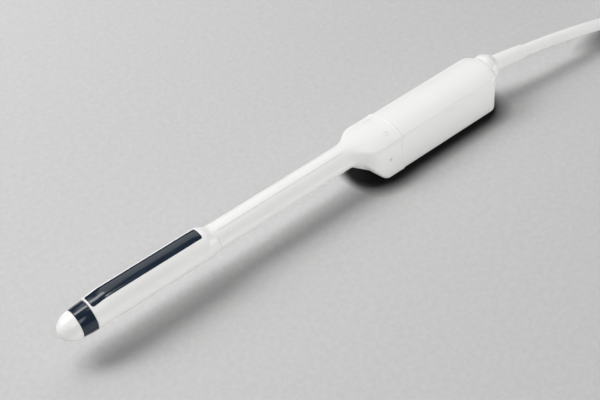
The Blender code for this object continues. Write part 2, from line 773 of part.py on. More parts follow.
def groove_cutter(side):
    """A thin bar that cuts the fine groove along the upper side of the shaft."""
    first = SHAFT_START + GROOVE_END_MARGIN
    last = FLARE_START - GROOVE_END_MARGIN
    bar = block(
        "groove_cutter_left" if side > 0.0 else "groove_cutter_right",
        (-(last - first) / 2.0, -GROOVE_WIDTH / 2.0, -GROOVE_DEPTH),
        ((last - first) / 2.0, GROOVE_WIDTH / 2.0, GROOVE_DEPTH),
        None,
    )
    angle = side * GROOVE_ANGLE
    bar.rotation_euler = (-angle, 0.0, 0.0)
    bar.location = (
        at((first + last) / 2.0),
        SHAFT_RADIUS * sin(angle),
        AXIS_HEIGHT + SHAFT_RADIUS * cos(angle),
    )
    return bar


def plug_places():
    """Name, surface point and outward direction of each screw plug."""
    top = COLLAR_END - TOP_PLUG_SETBACK
    side = COLLAR_END - SIDE_PLUG_SETBACK
    crest = crest_height(COLLAR_CREST, TOP_PLUG_SPREAD)
    lean = TOP_PLUG_SPREAD / CROWN_RADIUS
    half = HANDLE_WIDTH / 2.0 + COLLAR_PROUD
    return (
        ("screw_plug_top_left", (at(top), TOP_PLUG_SPREAD, crest), (0.0, lean, 1.0)),
        ("screw_plug_top_right", (at(top), -TOP_PLUG_SPREAD, crest), (0.0, -lean, 1.0)),
        ("screw_plug_bottom_left", (at(top), TOP_PLUG_SPREAD, 0.0), (0.0, 0.0, -1.0)),
        ("screw_plug_bottom_right", (at(top), -TOP_PLUG_SPREAD, 0.0), (0.0, 0.0, -1.0)),
        ("screw_plug_side_left", (at(side), half, SIDE_PLUG_HEIGHT), (0.0, 1.0, 0.0)),
        ("screw_plug_side_right", (at(side), -half, SIDE_PLUG_HEIGHT), (0.0, -1.0, 0.0)),
    )


def plug_outline(grow):
    """Head and shank of a plug from just below the surface, or its hole where grow is the fit."""
    head = PLUG_RADIUS + grow
    shank = PLUG_SHANK_RADIUS + grow
    top = CUTTER_REACH if grow else -FIT
    under = -FIT - PLUG_HEIGHT - grow
    tip = -FIT - PLUG_HEIGHT - PLUG_SHANK_LENGTH - grow
    return [(top, 0.0), (top, head), (under, head), (under, shank), (tip, shank), (tip, 0.0)]


def make_screw_plugs(joined):
    """White screw plugs in counterbores, whose holes pass through the pieces that they join."""
    for name, place, outward in plug_places():
        turn = Vector((0.0, 0.0, 1.0)).rotation_difference(Vector(outward).normalized())
        plug = turned(name, plug_outline(0.0), WHITE_SHELL, steps=SMALL_STEPS, upright=True)
        hole = turned(
            name + "_hole", plug_outline(FIT), None, steps=SMALL_STEPS, upright=True
        )
        for item in (plug, hole):
            item.rotation_euler = turn.to_euler()
            item.location = place
        for piece in joined:
            cut(piece, hole)


def make_bulkhead():
    """The plate inside the flare that the cable bundle passes through."""
    bore = BUNDLE_RADIUS + FIT
    edge = HANDLE_WALL + 2.0 * FIT
    lofted(
        "inner_bulkhead",
        [
            housing_section(BULKHEAD_START, edge),
            housing_section(BULKHEAD_END, edge),
            circle(BULKHEAD_END, bore, AXIS_HEIGHT),
            circle(BULKHEAD_START, bore, AXIS_HEIGHT),
        ],
        FRAME_PLASTIC,
    )


def make_handle_sleeve():
    """The square handle: a spigot with a gasket groove, the sleeve and its rounded rear end."""
    spigot_inset = HANDLE_WALL + FIT
    groove_front = SPIGOT_FRONT + INNER_SPIGOT_LENGTH - GASKET_SETBACK - GASKET_WIDTH
    groove_rear = groove_front + GASKET_WIDTH
    outer = [
        housing_section(SPIGOT_FRONT, spigot_inset + FIT),
        housing_section(COLLAR_START, spigot_inset),
        housing_section(groove_front, spigot_inset),
        housing_section(groove_front, spigot_inset + GASKET_DEPTH),
        housing_section(groove_rear, spigot_inset + GASKET_DEPTH),
        housing_section(groove_rear, spigot_inset),
        housing_section(SLEEVE_START, spigot_inset),
        sleeve_section(SLEEVE_START),
    ]
    for step in range(6):
        turn = pi / 2.0 * step / 5
        inset = REAR_FILLET * (1.0 - cos(turn))
        station = SLEEVE_END - REAR_FILLET * (1.0 - sin(turn))
        outer.append(sleeve_section(station, inset, REAR_CREST_SHARE * inset))
    hole = RING_SPIGOT_RADIUS + FIT
    rear_wall = SLEEVE_END - HANDLE_WALL
    spigot_inner = 2.0 * HANDLE_WALL + FIT
    inner = [
        circle(SLEEVE_END, hole, AXIS_HEIGHT),
        circle(rear_wall, hole, AXIS_HEIGHT),
        sleeve_section(rear_wall, REAR_FILLET, HANDLE_WALL),
        sleeve_section(SLEEVE_END - REAR_FILLET, HANDLE_WALL),
        sleeve_section(SLEEVE_START + 2.0 * HANDLE_WALL, HANDLE_WALL),
        housing_section(SLEEVE_START + HANDLE_WALL, spigot_inner),
        housing_section(SPIGOT_FRONT, spigot_inner),
    ]
    sleeve = lofted("handle_sleeve", outer + inner, WHITE_SHELL)
    make_gasket(groove_front + FIT / 2.0, groove_rear - FIT / 2.0, spigot_inset)
    return sleeve


def make_gasket(front, rear, spigot_inset):
    outer = spigot_inset - FIT / 4.0
    inner = spigot_inset + GASKET_DEPTH - FIT
    lofted(
        "handle_gasket",
        [
            housing_section(front, outer),
            housing_section(rear, outer),
            housing_section(rear, inner),
            housing_section(front, inner),
        ],
        GASKET_RUBBER,
    )


def make_electronics():
    """Board on its cradle, with two sockets, a shield can, and the wiring to both ends."""
    half = BOARD_WIDTH / 2.0
    floor = HANDLE_WALL + FIT
    cradle = block(
        "board_cradle", (at(BOARD_START), -half, floor),
        (at(BOARD_END), half, floor + CRADLE_HEIGHT), FRAME_PLASTIC,
    )
    cut(cradle, block(
        "cradle_cutter",
        (at(BOARD_START) + CRADLE_WALL, -half + CRADLE_WALL, floor + CRADLE_WALL),
        (at(BOARD_END) - CRADLE_WALL, half - CRADLE_WALL, floor + 2.0 * CRADLE_HEIGHT),
        None,
    ))
    block(
        "circuit_board", (at(BOARD_START), -half, BOARD_BOTTOM), (at(BOARD_END), half, BOARD_TOP),
        BOARD_GREEN,
    )
    seat = BOARD_TOP + FIT
    length, width, height = FRONT_SOCKET_SIZE
    front_socket_x = at(BOARD_START)
    block(
        "front_socket", (front_socket_x, -width / 2.0, seat),
        (front_socket_x + length, width / 2.0, seat + height), SOCKET_BLACK, edge=FIT,
    )
    length, width, height = REAR_SOCKET_SIZE
    rear_socket_x = at(BOARD_END) - length
    block(
        "rear_socket", (rear_socket_x, -width / 2.0, seat),
        (rear_socket_x + length, width / 2.0, seat + height), SOCKET_BLACK, edge=FIT,
    )
    make_shield_can(front_socket_x + FRONT_SOCKET_SIZE[0], rear_socket_x, seat)
    bundle_end = front_socket_x - FIT
    bundle_height = seat + FRONT_SOCKET_SIZE[2] - BUNDLE_RADIUS
    tube(
        "coax_bundle",
        (
            (at(HEAD_END - HEAD_CONE_LENGTH) + 2.0 * FIT, 0.0, AXIS_HEIGHT - HEAD_RISE),
            (at(SHAFT_START), 0.0, AXIS_HEIGHT),
            (at(mix(SHAFT_START, FLARE_START, 0.33)), 0.0, AXIS_HEIGHT),
            (at(mix(SHAFT_START, FLARE_START, 0.67)), 0.0, AXIS_HEIGHT),
            (at(FLARE_START), 0.0, AXIS_HEIGHT),
            (at(BULKHEAD_START), 0.0, AXIS_HEIGHT),
            (at(BULKHEAD_END), 0.0, AXIS_HEIGHT),
            (
                bundle_end - BUNDLE_RISE_LENGTH, 0.0,
                mix(AXIS_HEIGHT, bundle_height, BUNDLE_RISE_SHARE),
            ),
            (bundle_end - BUNDLE_END_LENGTH, 0.0, bundle_height),
            (bundle_end, 0.0, bundle_height),
        ),
        BUNDLE_RADIUS, BUNDLE_JACKET,
    )
    core_start = at(BOARD_END) + FIT
    clamp_middle = at((CLAMP_START + CLAMP_END) / 2.0)
    tube(
        "cable_core",
        (
            (core_start, 0.0, CORE_HEIGHT),
            (at(CLAMP_START), 0.0, CORE_HEIGHT),
            (clamp_middle, 0.0, CORE_HEIGHT),
            (at(CLAMP_END), 0.0, CORE_HEIGHT),
            (
                at(mix(CLAMP_END, RING_START, CORE_RISE_SHARE)), 0.0,
                mix(CORE_HEIGHT, AXIS_HEIGHT, CORE_RISE_SHARE),
            ),
            (at(RING_START - RING_SPIGOT_LENGTH), 0.0, AXIS_HEIGHT),
            (at(RING_END - RING_SEAT_DEPTH), 0.0, AXIS_HEIGHT),
        ),
        CORE_RADIUS, BUNDLE_JACKET,
    )


def make_shield_can(front, rear, seat):
    """A thin metal cover over the middle of the board, open underneath."""
    half = BOARD_WIDTH / 2.0 - CRADLE_WALL
    first = front + 2.0 * FIT
    last = rear - 2.0 * FIT
    can = block(
        "shield_can", (first, -half, seat), (last, half, seat + SHIELD_HEIGHT), STEEL, edge=FIT
    )
    cut(can, block(
        "shield_cutter",
        (first + SHIELD_WALL, -half + SHIELD_WALL, seat - SHIELD_WALL),
        (last - SHIELD_WALL, half - SHIELD_WALL, seat + SHIELD_HEIGHT - SHIELD_WALL),
        None,
    ))


def make_cable_clamp():
    """Two clamp halves round the cable's core, held by two screws, standing on the handle floor."""
    half = CLAMP_WIDTH / 2.0
    floor = HANDLE_WALL + FIT
    bore = CORE_RADIUS + FIT
    middle = (at(CLAMP_START) + at(CLAMP_END)) / 2.0
    lower = block(
        "clamp_lower", (at(CLAMP_START), -half, floor),
        (at(CLAMP_END), half, CORE_HEIGHT - FIT / 2.0), FRAME_PLASTIC, edge=2.0 * FIT,
    )
    upper = block(
        "clamp_upper", (at(CLAMP_START), -half, CORE_HEIGHT + FIT / 2.0),
        (at(CLAMP_END), half, CLAMP_TOP), FRAME_PLASTIC, edge=2.0 * FIT,
    )
    reach = CLAMP_LENGTH
    bore_cutter = turned(
        "clamp_bore_cutter", [(reach, 0.0), (reach, bore), (-reach, bore), (-reach, 0.0)], None,
        steps=SMALL_STEPS, origin=(middle, 0.0, CORE_HEIGHT),
    )
    cut(lower, bore_cutter)
    cut(upper, bore_cutter)
    for name, side in (("clamp_screw_left", 1.0), ("clamp_screw_right", -1.0)):
        place = (middle, side * CLAMP_SCREW_SPREAD, CLAMP_TOP)
        turned(name, screw_outline(0.0), STEEL, steps=SMALL_STEPS, origin=place, upright=True)
        hole = turned(
            name + "_hole", screw_outline(FIT), None, steps=SMALL_STEPS, origin=place, upright=True
        )
        cut(upper, hole)
        cut(lower, hole)


def screw_outline(grow):
    """A screw whose head stands on the clamp's top, or its hole where grow is the fit."""
    head = CLAMP_SCREW_HEAD_RADIUS
    shank = CLAMP_SCREW_RADIUS + grow
    tip = FIT - CLAMP_SCREW_LENGTH - grow
    if grow:
        return [(CUTTER_REACH, 0.0), (CUTTER_REACH, shank), (tip, shank), (tip, 0.0)]
    top = FIT + CLAMP_SCREW_HEAD_HEIGHT
    return [
        (top, 0.0), (top, head - 2.0 * FIT), (top - FIT, head), (FIT, head), (FIT, shank),
        (tip, shank), (tip, 0.0),
    ]


def make_gland():
    """The round gland ring behind the handle and the tapered boot that it holds."""
    seat_start = RING_END - RING_SEAT_DEPTH
    seat = BOOT_RADIUS + FIT
    core_bore = CORE_RADIUS + FIT
    crest = mix(RING_START, RING_END, RING_CREST_SHARE)
    shoulder = mix(RING_START, RING_END, RING_SHOULDER_SHARE)
    outline = [
        (RING_END, seat),
        (RING_END, RING_REAR_RADIUS),
        ((shoulder + RING_END) / 2.0, mix(RING_RADIUS, RING_REAR_RADIUS, RING_SHOULDER_SHARE)),
        (shoulder, RING_RADIUS - RING_EDGE),
        (crest, RING_RADIUS),
        (RING_START + RING_EDGE, RING_RADIUS),
        (RING_START, RING_RADIUS - RING_EDGE),
        (RING_START, RING_SPIGOT_RADIUS),
        (RING_START - RING_SPIGOT_LENGTH, RING_SPIGOT_RADIUS),
        (RING_START - RING_SPIGOT_LENGTH, core_bore),
        (seat_start, core_bore),
        (seat_start, seat),
    ]
    turned("gland_ring", outline, WHITE_SHELL, origin=(at(0.0), 0.0, AXIS_HEIGHT))
    tube(
        "strain_relief_boot", BOOT_ROUTE, BOOT_RADIUS, CABLE_WHITE,
        end_radius=BOOT_END_RADIUS, sides=5,
    )


def make_cable():
    """The free cable: a lead to the hank, the hank as one long ring, and a tail from its top."""
    tube("cable_lead", LEAD_ROUTE, CABLE_RADIUS, CABLE_WHITE)
    tube("cable_tail", TAIL_ROUTE, CABLE_RADIUS, CABLE_WHITE)
    outer = HANK_FOLD_RADIUS + HANK_HALF_THICKNESS
    inner = HANK_FOLD_RADIUS - HANK_HALF_THICKNESS
    edge = CABLE_RADIUS / 2.0
    outline = (
        (outer, HANK_BOTTOM + edge), (outer, HANK_TOP - edge), (outer - edge, HANK_TOP),
        (inner + edge, HANK_TOP), (inner, HANK_TOP - edge), (inner, HANK_BOTTOM + edge),
        (inner + edge, HANK_BOTTOM), (outer - edge, HANK_BOTTOM),
    )
    lofted("cable_hank", [hank_ring(radius, height) for radius, height in outline], CABLE_WHITE)
    for name, side in (("cable_tie_left", 1.0), ("cable_tie_right", -1.0)):
        make_tie(name, HANK_AXIS_Y + side * HANK_FOLD_RADIUS)


def hank_ring(radius, height):
    """Two straight runs joined by two half circles, at a distance from the hank's middle line."""
    ring = []
    for end, start in ((HANK_START_X + HANK_RUN, -pi / 2.0), (HANK_START_X, pi / 2.0)):
        for step in range(HANK_FOLD_STEPS + 1):
            turn = start + pi * step / HANK_FOLD_STEPS
            ring.append((end + radius * cos(turn), HANK_AXIS_Y + radius * sin(turn), height))
    return ring


def make_tie(name, middle):
    """A strap round the strands of one run, on which the hank rests."""
    half = HANK_HALF_THICKNESS + FIT
    front = HANK_START_X + (HANK_RUN - TIE_LENGTH) / 2.0
    rear = front + TIE_LENGTH
    lofted(
        name,
        [
            tie_ring(front, middle, half + TIE_WALL, HANK_BOTTOM - FIT - TIE_WALL, TIE_WALL),
            tie_ring(rear, middle, half + TIE_WALL, HANK_BOTTOM - FIT - TIE_WALL, TIE_WALL),
            tie_ring(rear, middle, half, HANK_BOTTOM - FIT, 0.0),
            tie_ring(front, middle, half, HANK_BOTTOM - FIT, 0.0),
        ],
        TIE_STRAP,
    )


def tie_ring(x, middle, half, bottom, grow):
    """A rounded rectangle across the strands, from its bottom to the same margin over the hank."""
    top = HANK_TOP + HANK_BOTTOM - bottom
    corner = TIE_CORNER + grow
    corners = (
        (half - corner, top - corner, 0.0), (corner - half, top - corner, pi / 2.0),
        (corner - half, bottom + corner, pi), (half - corner, bottom + corner, 1.5 * pi),
    )
    ring = []
    for across, up, start in corners:
        for step in range(4):
            turn = start + pi / 2.0 * step / 3
            ring.append((x, middle + across + corner * cos(turn), up + corner * sin(turn)))
    return ring


def on_connector(item, base):
    item.parent = base
    return item


def make_connector():
    """The system connector at the end of the cable, modelled about its own middle."""
    base = bpy.data.objects.new("connector_place", None)
    PARTS.objects.link(base)
    base.location = (CONNECTOR_REAR_X + CONNECTOR_LENGTH / 2.0, CONNECTOR_AXIS_Y, 0.0)
    halves = make_connector_shells(base)
    make_connector_shroud(base)
    make_connector_screws(base, halves)
    make_connector_boot(base, halves)


def make_connector_shells(base):
    """Two trays with rounded corners, solid posts for the screws, and a mouth at the front."""
    length = CONNECTOR_LENGTH / 2.0
    width = CONNECTOR_WIDTH / 2.0
    middle = CONNECTOR_HEIGHT / 2.0
    lower = rounded_plate(
        "connector_lower_shell", (-length, -width, 0.0), (length, width, middle - FIT / 2.0),
        CONNECTOR_GREY, CONNECTOR_CORNER, edge=CONNECTOR_EDGE / 2.0,
    )
    upper = rounded_plate(
        "connector_upper_shell", (-length, -width, middle + FIT / 2.0),
        (length, width, CONNECTOR_HEIGHT), CONNECTOR_GREY, CONNECTOR_CORNER,
        edge=CONNECTOR_EDGE,
    )
    wall = CONNECTOR_WALL
    post = wall + CONNECTOR_POST
    cavities = [
        block(
            "connector_cavity_long", (-length + wall, -width + post, wall),
            (length - wall, width - post, CONNECTOR_HEIGHT - wall), None,
        ),
        block(
            "connector_cavity_wide", (-length + post, -width + wall, wall),
            (length - post, width - wall, CONNECTOR_HEIGHT - wall), None,
        ),
        block(
            "connector_mouth",
            (length - SHROUD_LENGTH, -SHROUD_WIDTH / 2.0 - FIT, middle - SHROUD_HEIGHT / 2.0 - FIT),
            (length + wall, SHROUD_WIDTH / 2.0 + FIT, middle + SHROUD_HEIGHT / 2.0 + FIT),
            None,
        ),
    ]
    for cavity in cavities:
        on_connector(cavity, base)
        cut(lower, cavity)
        cut(upper, cavity)
    for side in (-1.0, 1.0):
        for index in range(GRIP_COUNT):
            cut(upper, on_connector(grip_cutter(side, index, width), base))
    for half in (lower, upper):
        on_connector(half, base)
    return lower, upper


def grip_cutter(side, index, width):
    """A shallow upright groove in the side of the upper shell, for the fingers."""
    place = (index - (GRIP_COUNT - 1) / 2.0) * GRIP_PITCH
    edge = side * width
    return block(
        f"grip_cutter_{'left' if side > 0.0 else 'right'}_{index}",
        (place - GRIP_WIDTH / 2.0, edge - GRIP_DEPTH, CONNECTOR_HEIGHT * GRIP_BOTTOM_SHARE),
        (place + GRIP_WIDTH / 2.0, edge + GRIP_DEPTH, CONNECTOR_HEIGHT * GRIP_TOP_SHARE),
        None,
    )


def make_connector_shroud(base):
    """The metal shroud in the mouth, the slotted contact block in it, and the board behind."""
    length = CONNECTOR_LENGTH / 2.0
    middle = CONNECTOR_HEIGHT / 2.0
    half = SHROUD_WIDTH / 2.0
    rise = SHROUD_HEIGHT / 2.0
    front = length + SHROUD_REACH
    rear = length - SHROUD_LENGTH + FIT
    shroud = block(
        "connector_shroud", (rear, -half, middle - rise), (front, half, middle + rise), STEEL,
        edge=FIT,
    )
    cut(shroud, on_connector(block(
        "shroud_cutter",
        (rear - SHROUD_WALL, -half + SHROUD_WALL, middle - rise + SHROUD_WALL),
        (front + SHROUD_WALL, half - SHROUD_WALL, middle + rise - SHROUD_WALL),
        None,
    ), base))
    inner_half = half - SHROUD_WALL - FIT
    inner_rise = rise - SHROUD_WALL - FIT
    block_front = front - CONNECTOR_MOUTH_LIP
    contacts = block(
        "connector_contacts", (block_front - CONTACT_BLOCK_LENGTH, -inner_half, middle - inner_rise),
        (block_front, inner_half, middle + inner_rise), SOCKET_BLACK,
    )
    for row in range(CONTACT_ROWS):
        for column in range(CONTACT_COLUMNS):
            cut(contacts, on_connector(contact_cutter(row, column, block_front), base))
    board_rear = block_front - CONTACT_BLOCK_LENGTH - FIT - CONNECTOR_BOARD_LENGTH
    board = block(
        "connector_board",
        (board_rear, -CONNECTOR_BOARD_HALF_WIDTH, CONNECTOR_WALL + FIT),
        (rear - FIT, CONNECTOR_BOARD_HALF_WIDTH, CONNECTOR_WALL + FIT + BOARD_THICKNESS),
        BOARD_GREEN,
    )
    for item in (shroud, contacts, board):
        on_connector(item, base)


def contact_cutter(row, column, front):
    """One contact slot in the face of the contact block."""
    across = (column - (CONTACT_COLUMNS - 1) / 2.0) * CONTACT_PITCH
    up = CONNECTOR_HEIGHT / 2.0 + (row - (CONTACT_ROWS - 1) / 2.0) * CONTACT_ROW_PITCH
    width, height = CONTACT_SLOT
    return block(
        f"contact_cutter_{row}_{column}",
        (front - CONTACT_SLOT_DEPTH, across - width / 2.0, up - height / 2.0),
        (front + CONTACT_SLOT_DEPTH, across + width / 2.0, up + height / 2.0),
        None,
    )


def make_connector_screws(base, halves):
    """Four screws from below, in counterbores of the lower shell, into the upper shell's posts."""
    head = CONNECTOR_SCREW_HEAD_RADIUS
    shank = CONNECTOR_SCREW_RADIUS
    under = FIT + CONNECTOR_SCREW_HEAD_HEIGHT
    tip = under + CONNECTOR_SCREW_LENGTH
    screw = [(tip, 0.0), (tip, shank), (under, shank), (under, head), (FIT, head), (FIT, 0.0)]
    hole = [
        (tip + FIT, 0.0), (tip + FIT, shank + FIT), (under + FIT, shank + FIT),
        (under + FIT, head + FIT), (-head, head + FIT), (-head, 0.0),
    ]
    places = [(x, y) for x in (-1.0, 1.0) for y in (-1.0, 1.0)]
    for index, (along, across) in enumerate(places):
        place = (along * CONNECTOR_SCREW_X, across * CONNECTOR_SCREW_Y, 0.0)
        name = f"connector_screw_{index + 1}"
        on_connector(turned(name, screw, STEEL, SMALL_STEPS, place, True), base)
        cutter = on_connector(turned(name + "_hole", hole, None, SMALL_STEPS, place, True), base)
        for half in halves:
            cut(half, cutter)


def make_connector_boot(base, halves):
    """The connector's strain relief, with a flange held between the two shells."""
    rear = -CONNECTOR_LENGTH / 2.0
    inner = rear + CONNECTOR_WALL
    flange = CONNECTOR_BOOT_RADIUS + CONNECTOR_BOOT_FLANGE
    tip = rear - CONNECTOR_BOOT_LENGTH
    middle = CONNECTOR_HEIGHT / 2.0
    outline = [
        (inner + CONNECTOR_BOOT_FLANGE + FIT, 0.0),
        (inner + CONNECTOR_BOOT_FLANGE + FIT, flange),
        (inner + FIT, flange),
        (inner + FIT, CONNECTOR_BOOT_RADIUS),
        (rear, CONNECTOR_BOOT_RADIUS),
        (tip, CONNECTOR_BOOT_END_RADIUS),
        (tip, 0.0),
    ]
    on_connector(turned(
        "connector_boot", outline, CABLE_WHITE, steps=BOOT_STEPS, origin=(0.0, 0.0, middle)
    ), base)
    bore = CONNECTOR_BOOT_RADIUS + FIT
    hole = on_connector(turned(
        "connector_rear_hole", [(inner + FIT, 0.0), (inner + FIT, bore), (tip, bore), (tip, 0.0)],
        None, steps=BOOT_STEPS, origin=(0.0, 0.0, middle),
    ), base)
    for half in halves:
        cut(half, hole)


make_nose_cap()
make_transverse_array()
make_head()
make_linear_array()
HOUSING = make_shaft_housing()
make_bulkhead()
SLEEVE = make_handle_sleeve()
make_screw_plugs((HOUSING, SLEEVE))
make_electronics()
make_cable_clamp()
make_gland()
make_cable()
make_connector()
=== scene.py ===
"""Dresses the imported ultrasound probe: smooth shells, cable, materials, floor, lamps and camera.

All lengths are in metres in the frame's own axes. The nose points to -X and the handle rests
at Z = 0.
"""

import json
from math import asin
from math import cos
from math import pi
from math import radians
from math import sin
from math import sqrt

import bmesh
import bpy
from mathutils import Matrix
from mathutils import Vector


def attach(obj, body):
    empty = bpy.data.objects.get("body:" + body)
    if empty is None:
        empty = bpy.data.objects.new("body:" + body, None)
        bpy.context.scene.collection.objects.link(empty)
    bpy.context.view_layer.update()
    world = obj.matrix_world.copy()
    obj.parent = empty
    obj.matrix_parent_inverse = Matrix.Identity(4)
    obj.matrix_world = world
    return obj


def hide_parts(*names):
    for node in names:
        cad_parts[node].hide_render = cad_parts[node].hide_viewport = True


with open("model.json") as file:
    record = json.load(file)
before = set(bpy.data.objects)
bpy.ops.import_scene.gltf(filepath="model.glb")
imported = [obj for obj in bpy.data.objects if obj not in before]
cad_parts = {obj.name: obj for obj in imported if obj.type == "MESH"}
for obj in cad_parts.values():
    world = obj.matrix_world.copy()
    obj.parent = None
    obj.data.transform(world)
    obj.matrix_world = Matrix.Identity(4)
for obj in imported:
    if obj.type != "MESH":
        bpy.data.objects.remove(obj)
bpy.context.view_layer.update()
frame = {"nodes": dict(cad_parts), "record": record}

MM = 0.001
FIT = 0.3 * MM
SEAM = 0.06 * MM

# Sizes of the probe, as in the frame
AXIS_HEIGHT = 23.2 * MM
HEAD_HEIGHT = 24.4 * MM
NOSE_LENGTH = 10.5 * MM
NOSE_REAR_RADIUS = 8.3 * MM
NOSE_OVERRUN = 1.5 * MM
NOSE_EDGE = 0.25 * MM
NOSE_EDGE_SHARES = ((1.0, 0.0), (0.3, 0.2), (0.0, 0.7))
BAND_REAR_RADIUS = 9.0 * MM
BAND_WIDTH = 8.8 * MM
BAND_BULGE = 0.15 * MM
BAND_WALL = 2.0 * MM
BAND_EDGE = 0.22 * MM
HEAD_LENGTH = 81.1 * MM
HEAD_FRONT_RADIUS = 9.35 * MM
HEAD_FRONT_HEIGHT = 23.85 * MM
HEAD_RADIUS = 9.8 * MM
HEAD_WALL = 2.0 * MM
HEAD_TAPER_LENGTH = 11.0 * MM
HEAD_TAPER_BEND = 0.5
HEAD_CONE_LENGTH = 8.0 * MM
HEAD_CONE_BEND = 0.4
HEAD_EDGE = 0.2 * MM
WINDOW_RIM = 0.8 * MM
WINDOW_LENGTH = 71.9 * MM
WINDOW_WIDTH = 9.0 * MM
WINDOW_CORNER = 1.2 * MM
WINDOW_EDGE = 0.25 * MM
LENS_PROUD = 0.2 * MM
LENS_DEPTH = 2.0 * MM
LENS_GAP = 0.15 * MM
LENS_EDGE = 0.2 * MM
SHAFT_LENGTH = 95.4 * MM
SHAFT_RADIUS = 8.0 * MM
GROOVE_ANGLE = radians(25.5)
GROOVE_WIDTH = 0.36 * MM
GROOVE_DEPTH = 0.25 * MM
GROOVE_END_MARGIN = 2.0 * MM
FLARE_LENGTH = 24.5 * MM
SIDE_FLARE_LENGTH = 18.5 * MM
SIDE_FLARE_BEND = 0.5
BELLY_DELAY = 6.5 * MM
BELLY_BEND = 0.27
COLLAR_LENGTH = 11.3 * MM
COLLAR_PROUD = 0.5 * MM
COLLAR_BEVEL = 0.9 * MM
COLLAR_LIP = 0.32 * MM
COLLAR_LIP_LENGTH = 2.4 * MM
COLLAR_LIP_BEND = 0.5
HOUSING_EDGE = 0.2 * MM
SLEEVE_LENGTH = 80.7 * MM
HANDLE_WIDTH = 29.6 * MM
HANDLE_CREST = 30.8 * MM
CROWN_RADIUS = 26.0 * MM
CORNER_RADIUS = 3.2 * MM
LEAST_CORNER = 0.5 * MM
HANDLE_WALL = 2.2 * MM
SLEEVE_EDGE = 0.3 * MM
SLEEVE_EDGE_SHARE = 0.3
EDGE_RUN = 1.0 * MM
REAR_FILLET = 5.5 * MM
REAR_CREST_SHARE = 0.18
PLUG_RADIUS = 1.5 * MM
PLUG_DEPTH = 1.1 * MM
PLUG_GAP = 0.08 * MM
PLUG_HOLE_DEPTH = 1.2 * MM
PLUG_HOLE_RISE = 1.0 * MM
TOP_PLUG_SETBACK = 8.2 * MM
SIDE_PLUG_SETBACK = 11.7 * MM
TOP_PLUG_SPREAD = 8.1 * MM
SIDE_PLUG_HEIGHT = 16.1 * MM
PLUG_SLOT_LENGTH = 2.6 * MM
PLUG_SLOT_WIDTH = 0.6 * MM
PLUG_SLOT_DEPTH = 0.9 * MM
PLUG_SLOT_SLANT = radians(45)
RING_LENGTH = 8.7 * MM
RING_RADIUS = 9.2 * MM
RING_REAR_RADIUS = 6.5 * MM
RING_EDGE = 0.6 * MM
RING_FILLET = 0.5 * MM
RING_OVERLAP = 2.0 * MM
RING_CREST_END = 0.42
RING_STEP_END = 0.58
RING_SHOULDER = 0.79
RING_SHOULDER_DROP = 0.58
RING_FRONT_BITE = 0.5 * MM
RING_REAR_BITE = 0.2 * MM
RING_SEAT_DEPTH = 6.5 * MM
BOOT_RADIUS = 5.6 * MM
BOOT_END_RADIUS = 4.6 * MM
BOOT_REACH = 24.6 * MM
BOOT_LIP = 0.5 * MM

# A plug's face from its middle to its rim: height, share of the radius, and how far inside that
PLUG_FACE = (
    (-0.16 * MM, 0.0, 0.0), (-0.12 * MM, 0.4, 0.0), (-0.05 * MM, 0.75, 0.0),
    (-0.06 * MM, 1.0, 0.12 * MM), (-0.18 * MM, 1.0, 0.0),
)

# Stations along the probe, from the tip of the nose
BAND_START = NOSE_LENGTH + FIT
BAND_END = BAND_START + BAND_WIDTH
HEAD_START = BAND_END + FIT
HEAD_END = HEAD_START + HEAD_LENGTH
SHAFT_START = HEAD_END + FIT
FLARE_START = SHAFT_START + SHAFT_LENGTH
COLLAR_START = FLARE_START + FLARE_LENGTH
COLLAR_END = COLLAR_START + COLLAR_LENGTH
SLEEVE_START = COLLAR_END + FIT
SLEEVE_END = SLEEVE_START + SLEEVE_LENGTH
RING_START = SLEEVE_END + FIT
RING_END = RING_START + RING_LENGTH
BODY_LENGTH = RING_END + BOOT_REACH
WINDOW_START = HEAD_START + WINDOW_RIM
WINDOW_END = WINDOW_START + WINDOW_LENGTH

# Cable, its hank and the connector at its end
CABLE_RADIUS = 3.9 * MM
CABLE_PITCH = 2.0 * CABLE_RADIUS
HANK_START_X = 307.0 * MM
HANK_RUN = 108.0 * MM
HANK_AXIS_Y = -21.2 * MM
HANK_OUTER_FOLD = 31.2 * MM
HANK_INNER_FOLD = 23.4 * MM
HANK_BOTTOM = 1.3 * MM
HANK_TURNS = 4
HANK_STEPS = 12
HANK_CHANGE = 0.25
HANK_LANES = ((0.5, 1), (2.0, -1), (3.5, 1))
HANK_CLIMBS = (1.25, 2.75)
TAIL_SHARE = 0.55
CONNECTOR_BOOT_TIP = 504.7 * MM
CONNECTOR_AXIS_Y = -20.0 * MM
CABLE_EXIT = (172.8 * MM, -3.6 * MM, 22.4 * MM)
BOOT_ROUTE = (
    (RING_END - RING_SEAT_DEPTH - BODY_LENGTH / 2, 0.0, AXIS_HEIGHT),
    (RING_END - BODY_LENGTH / 2, -0.3 * MM, AXIS_HEIGHT),
    (161.4 * MM, -1.9 * MM, 22.9 * MM),
    CABLE_EXIT,
)
LEAD_ROUTE = (
    CABLE_EXIT,
    (185.6 * MM, -5.2 * MM, 21.3 * MM),
    (198.2 * MM, -6.8 * MM, 19.9 * MM),
    (219.1 * MM, -10.0 * MM, 17.4 * MM),
    (238.7 * MM, -12.4 * MM, 14.0 * MM),
    (254.0 * MM, -12.2 * MM, 10.4 * MM),
    (272.0 * MM, -6.5 * MM, 6.8 * MM),
    (281.0 * MM, -1.2 * MM, 5.6 * MM),
    (289.4 * MM, 4.6 * MM, 5.2 * MM),
    (295.5 * MM, 7.9 * MM, 5.2 * MM),
    (301.2 * MM, 9.5 * MM, 5.2 * MM),
)
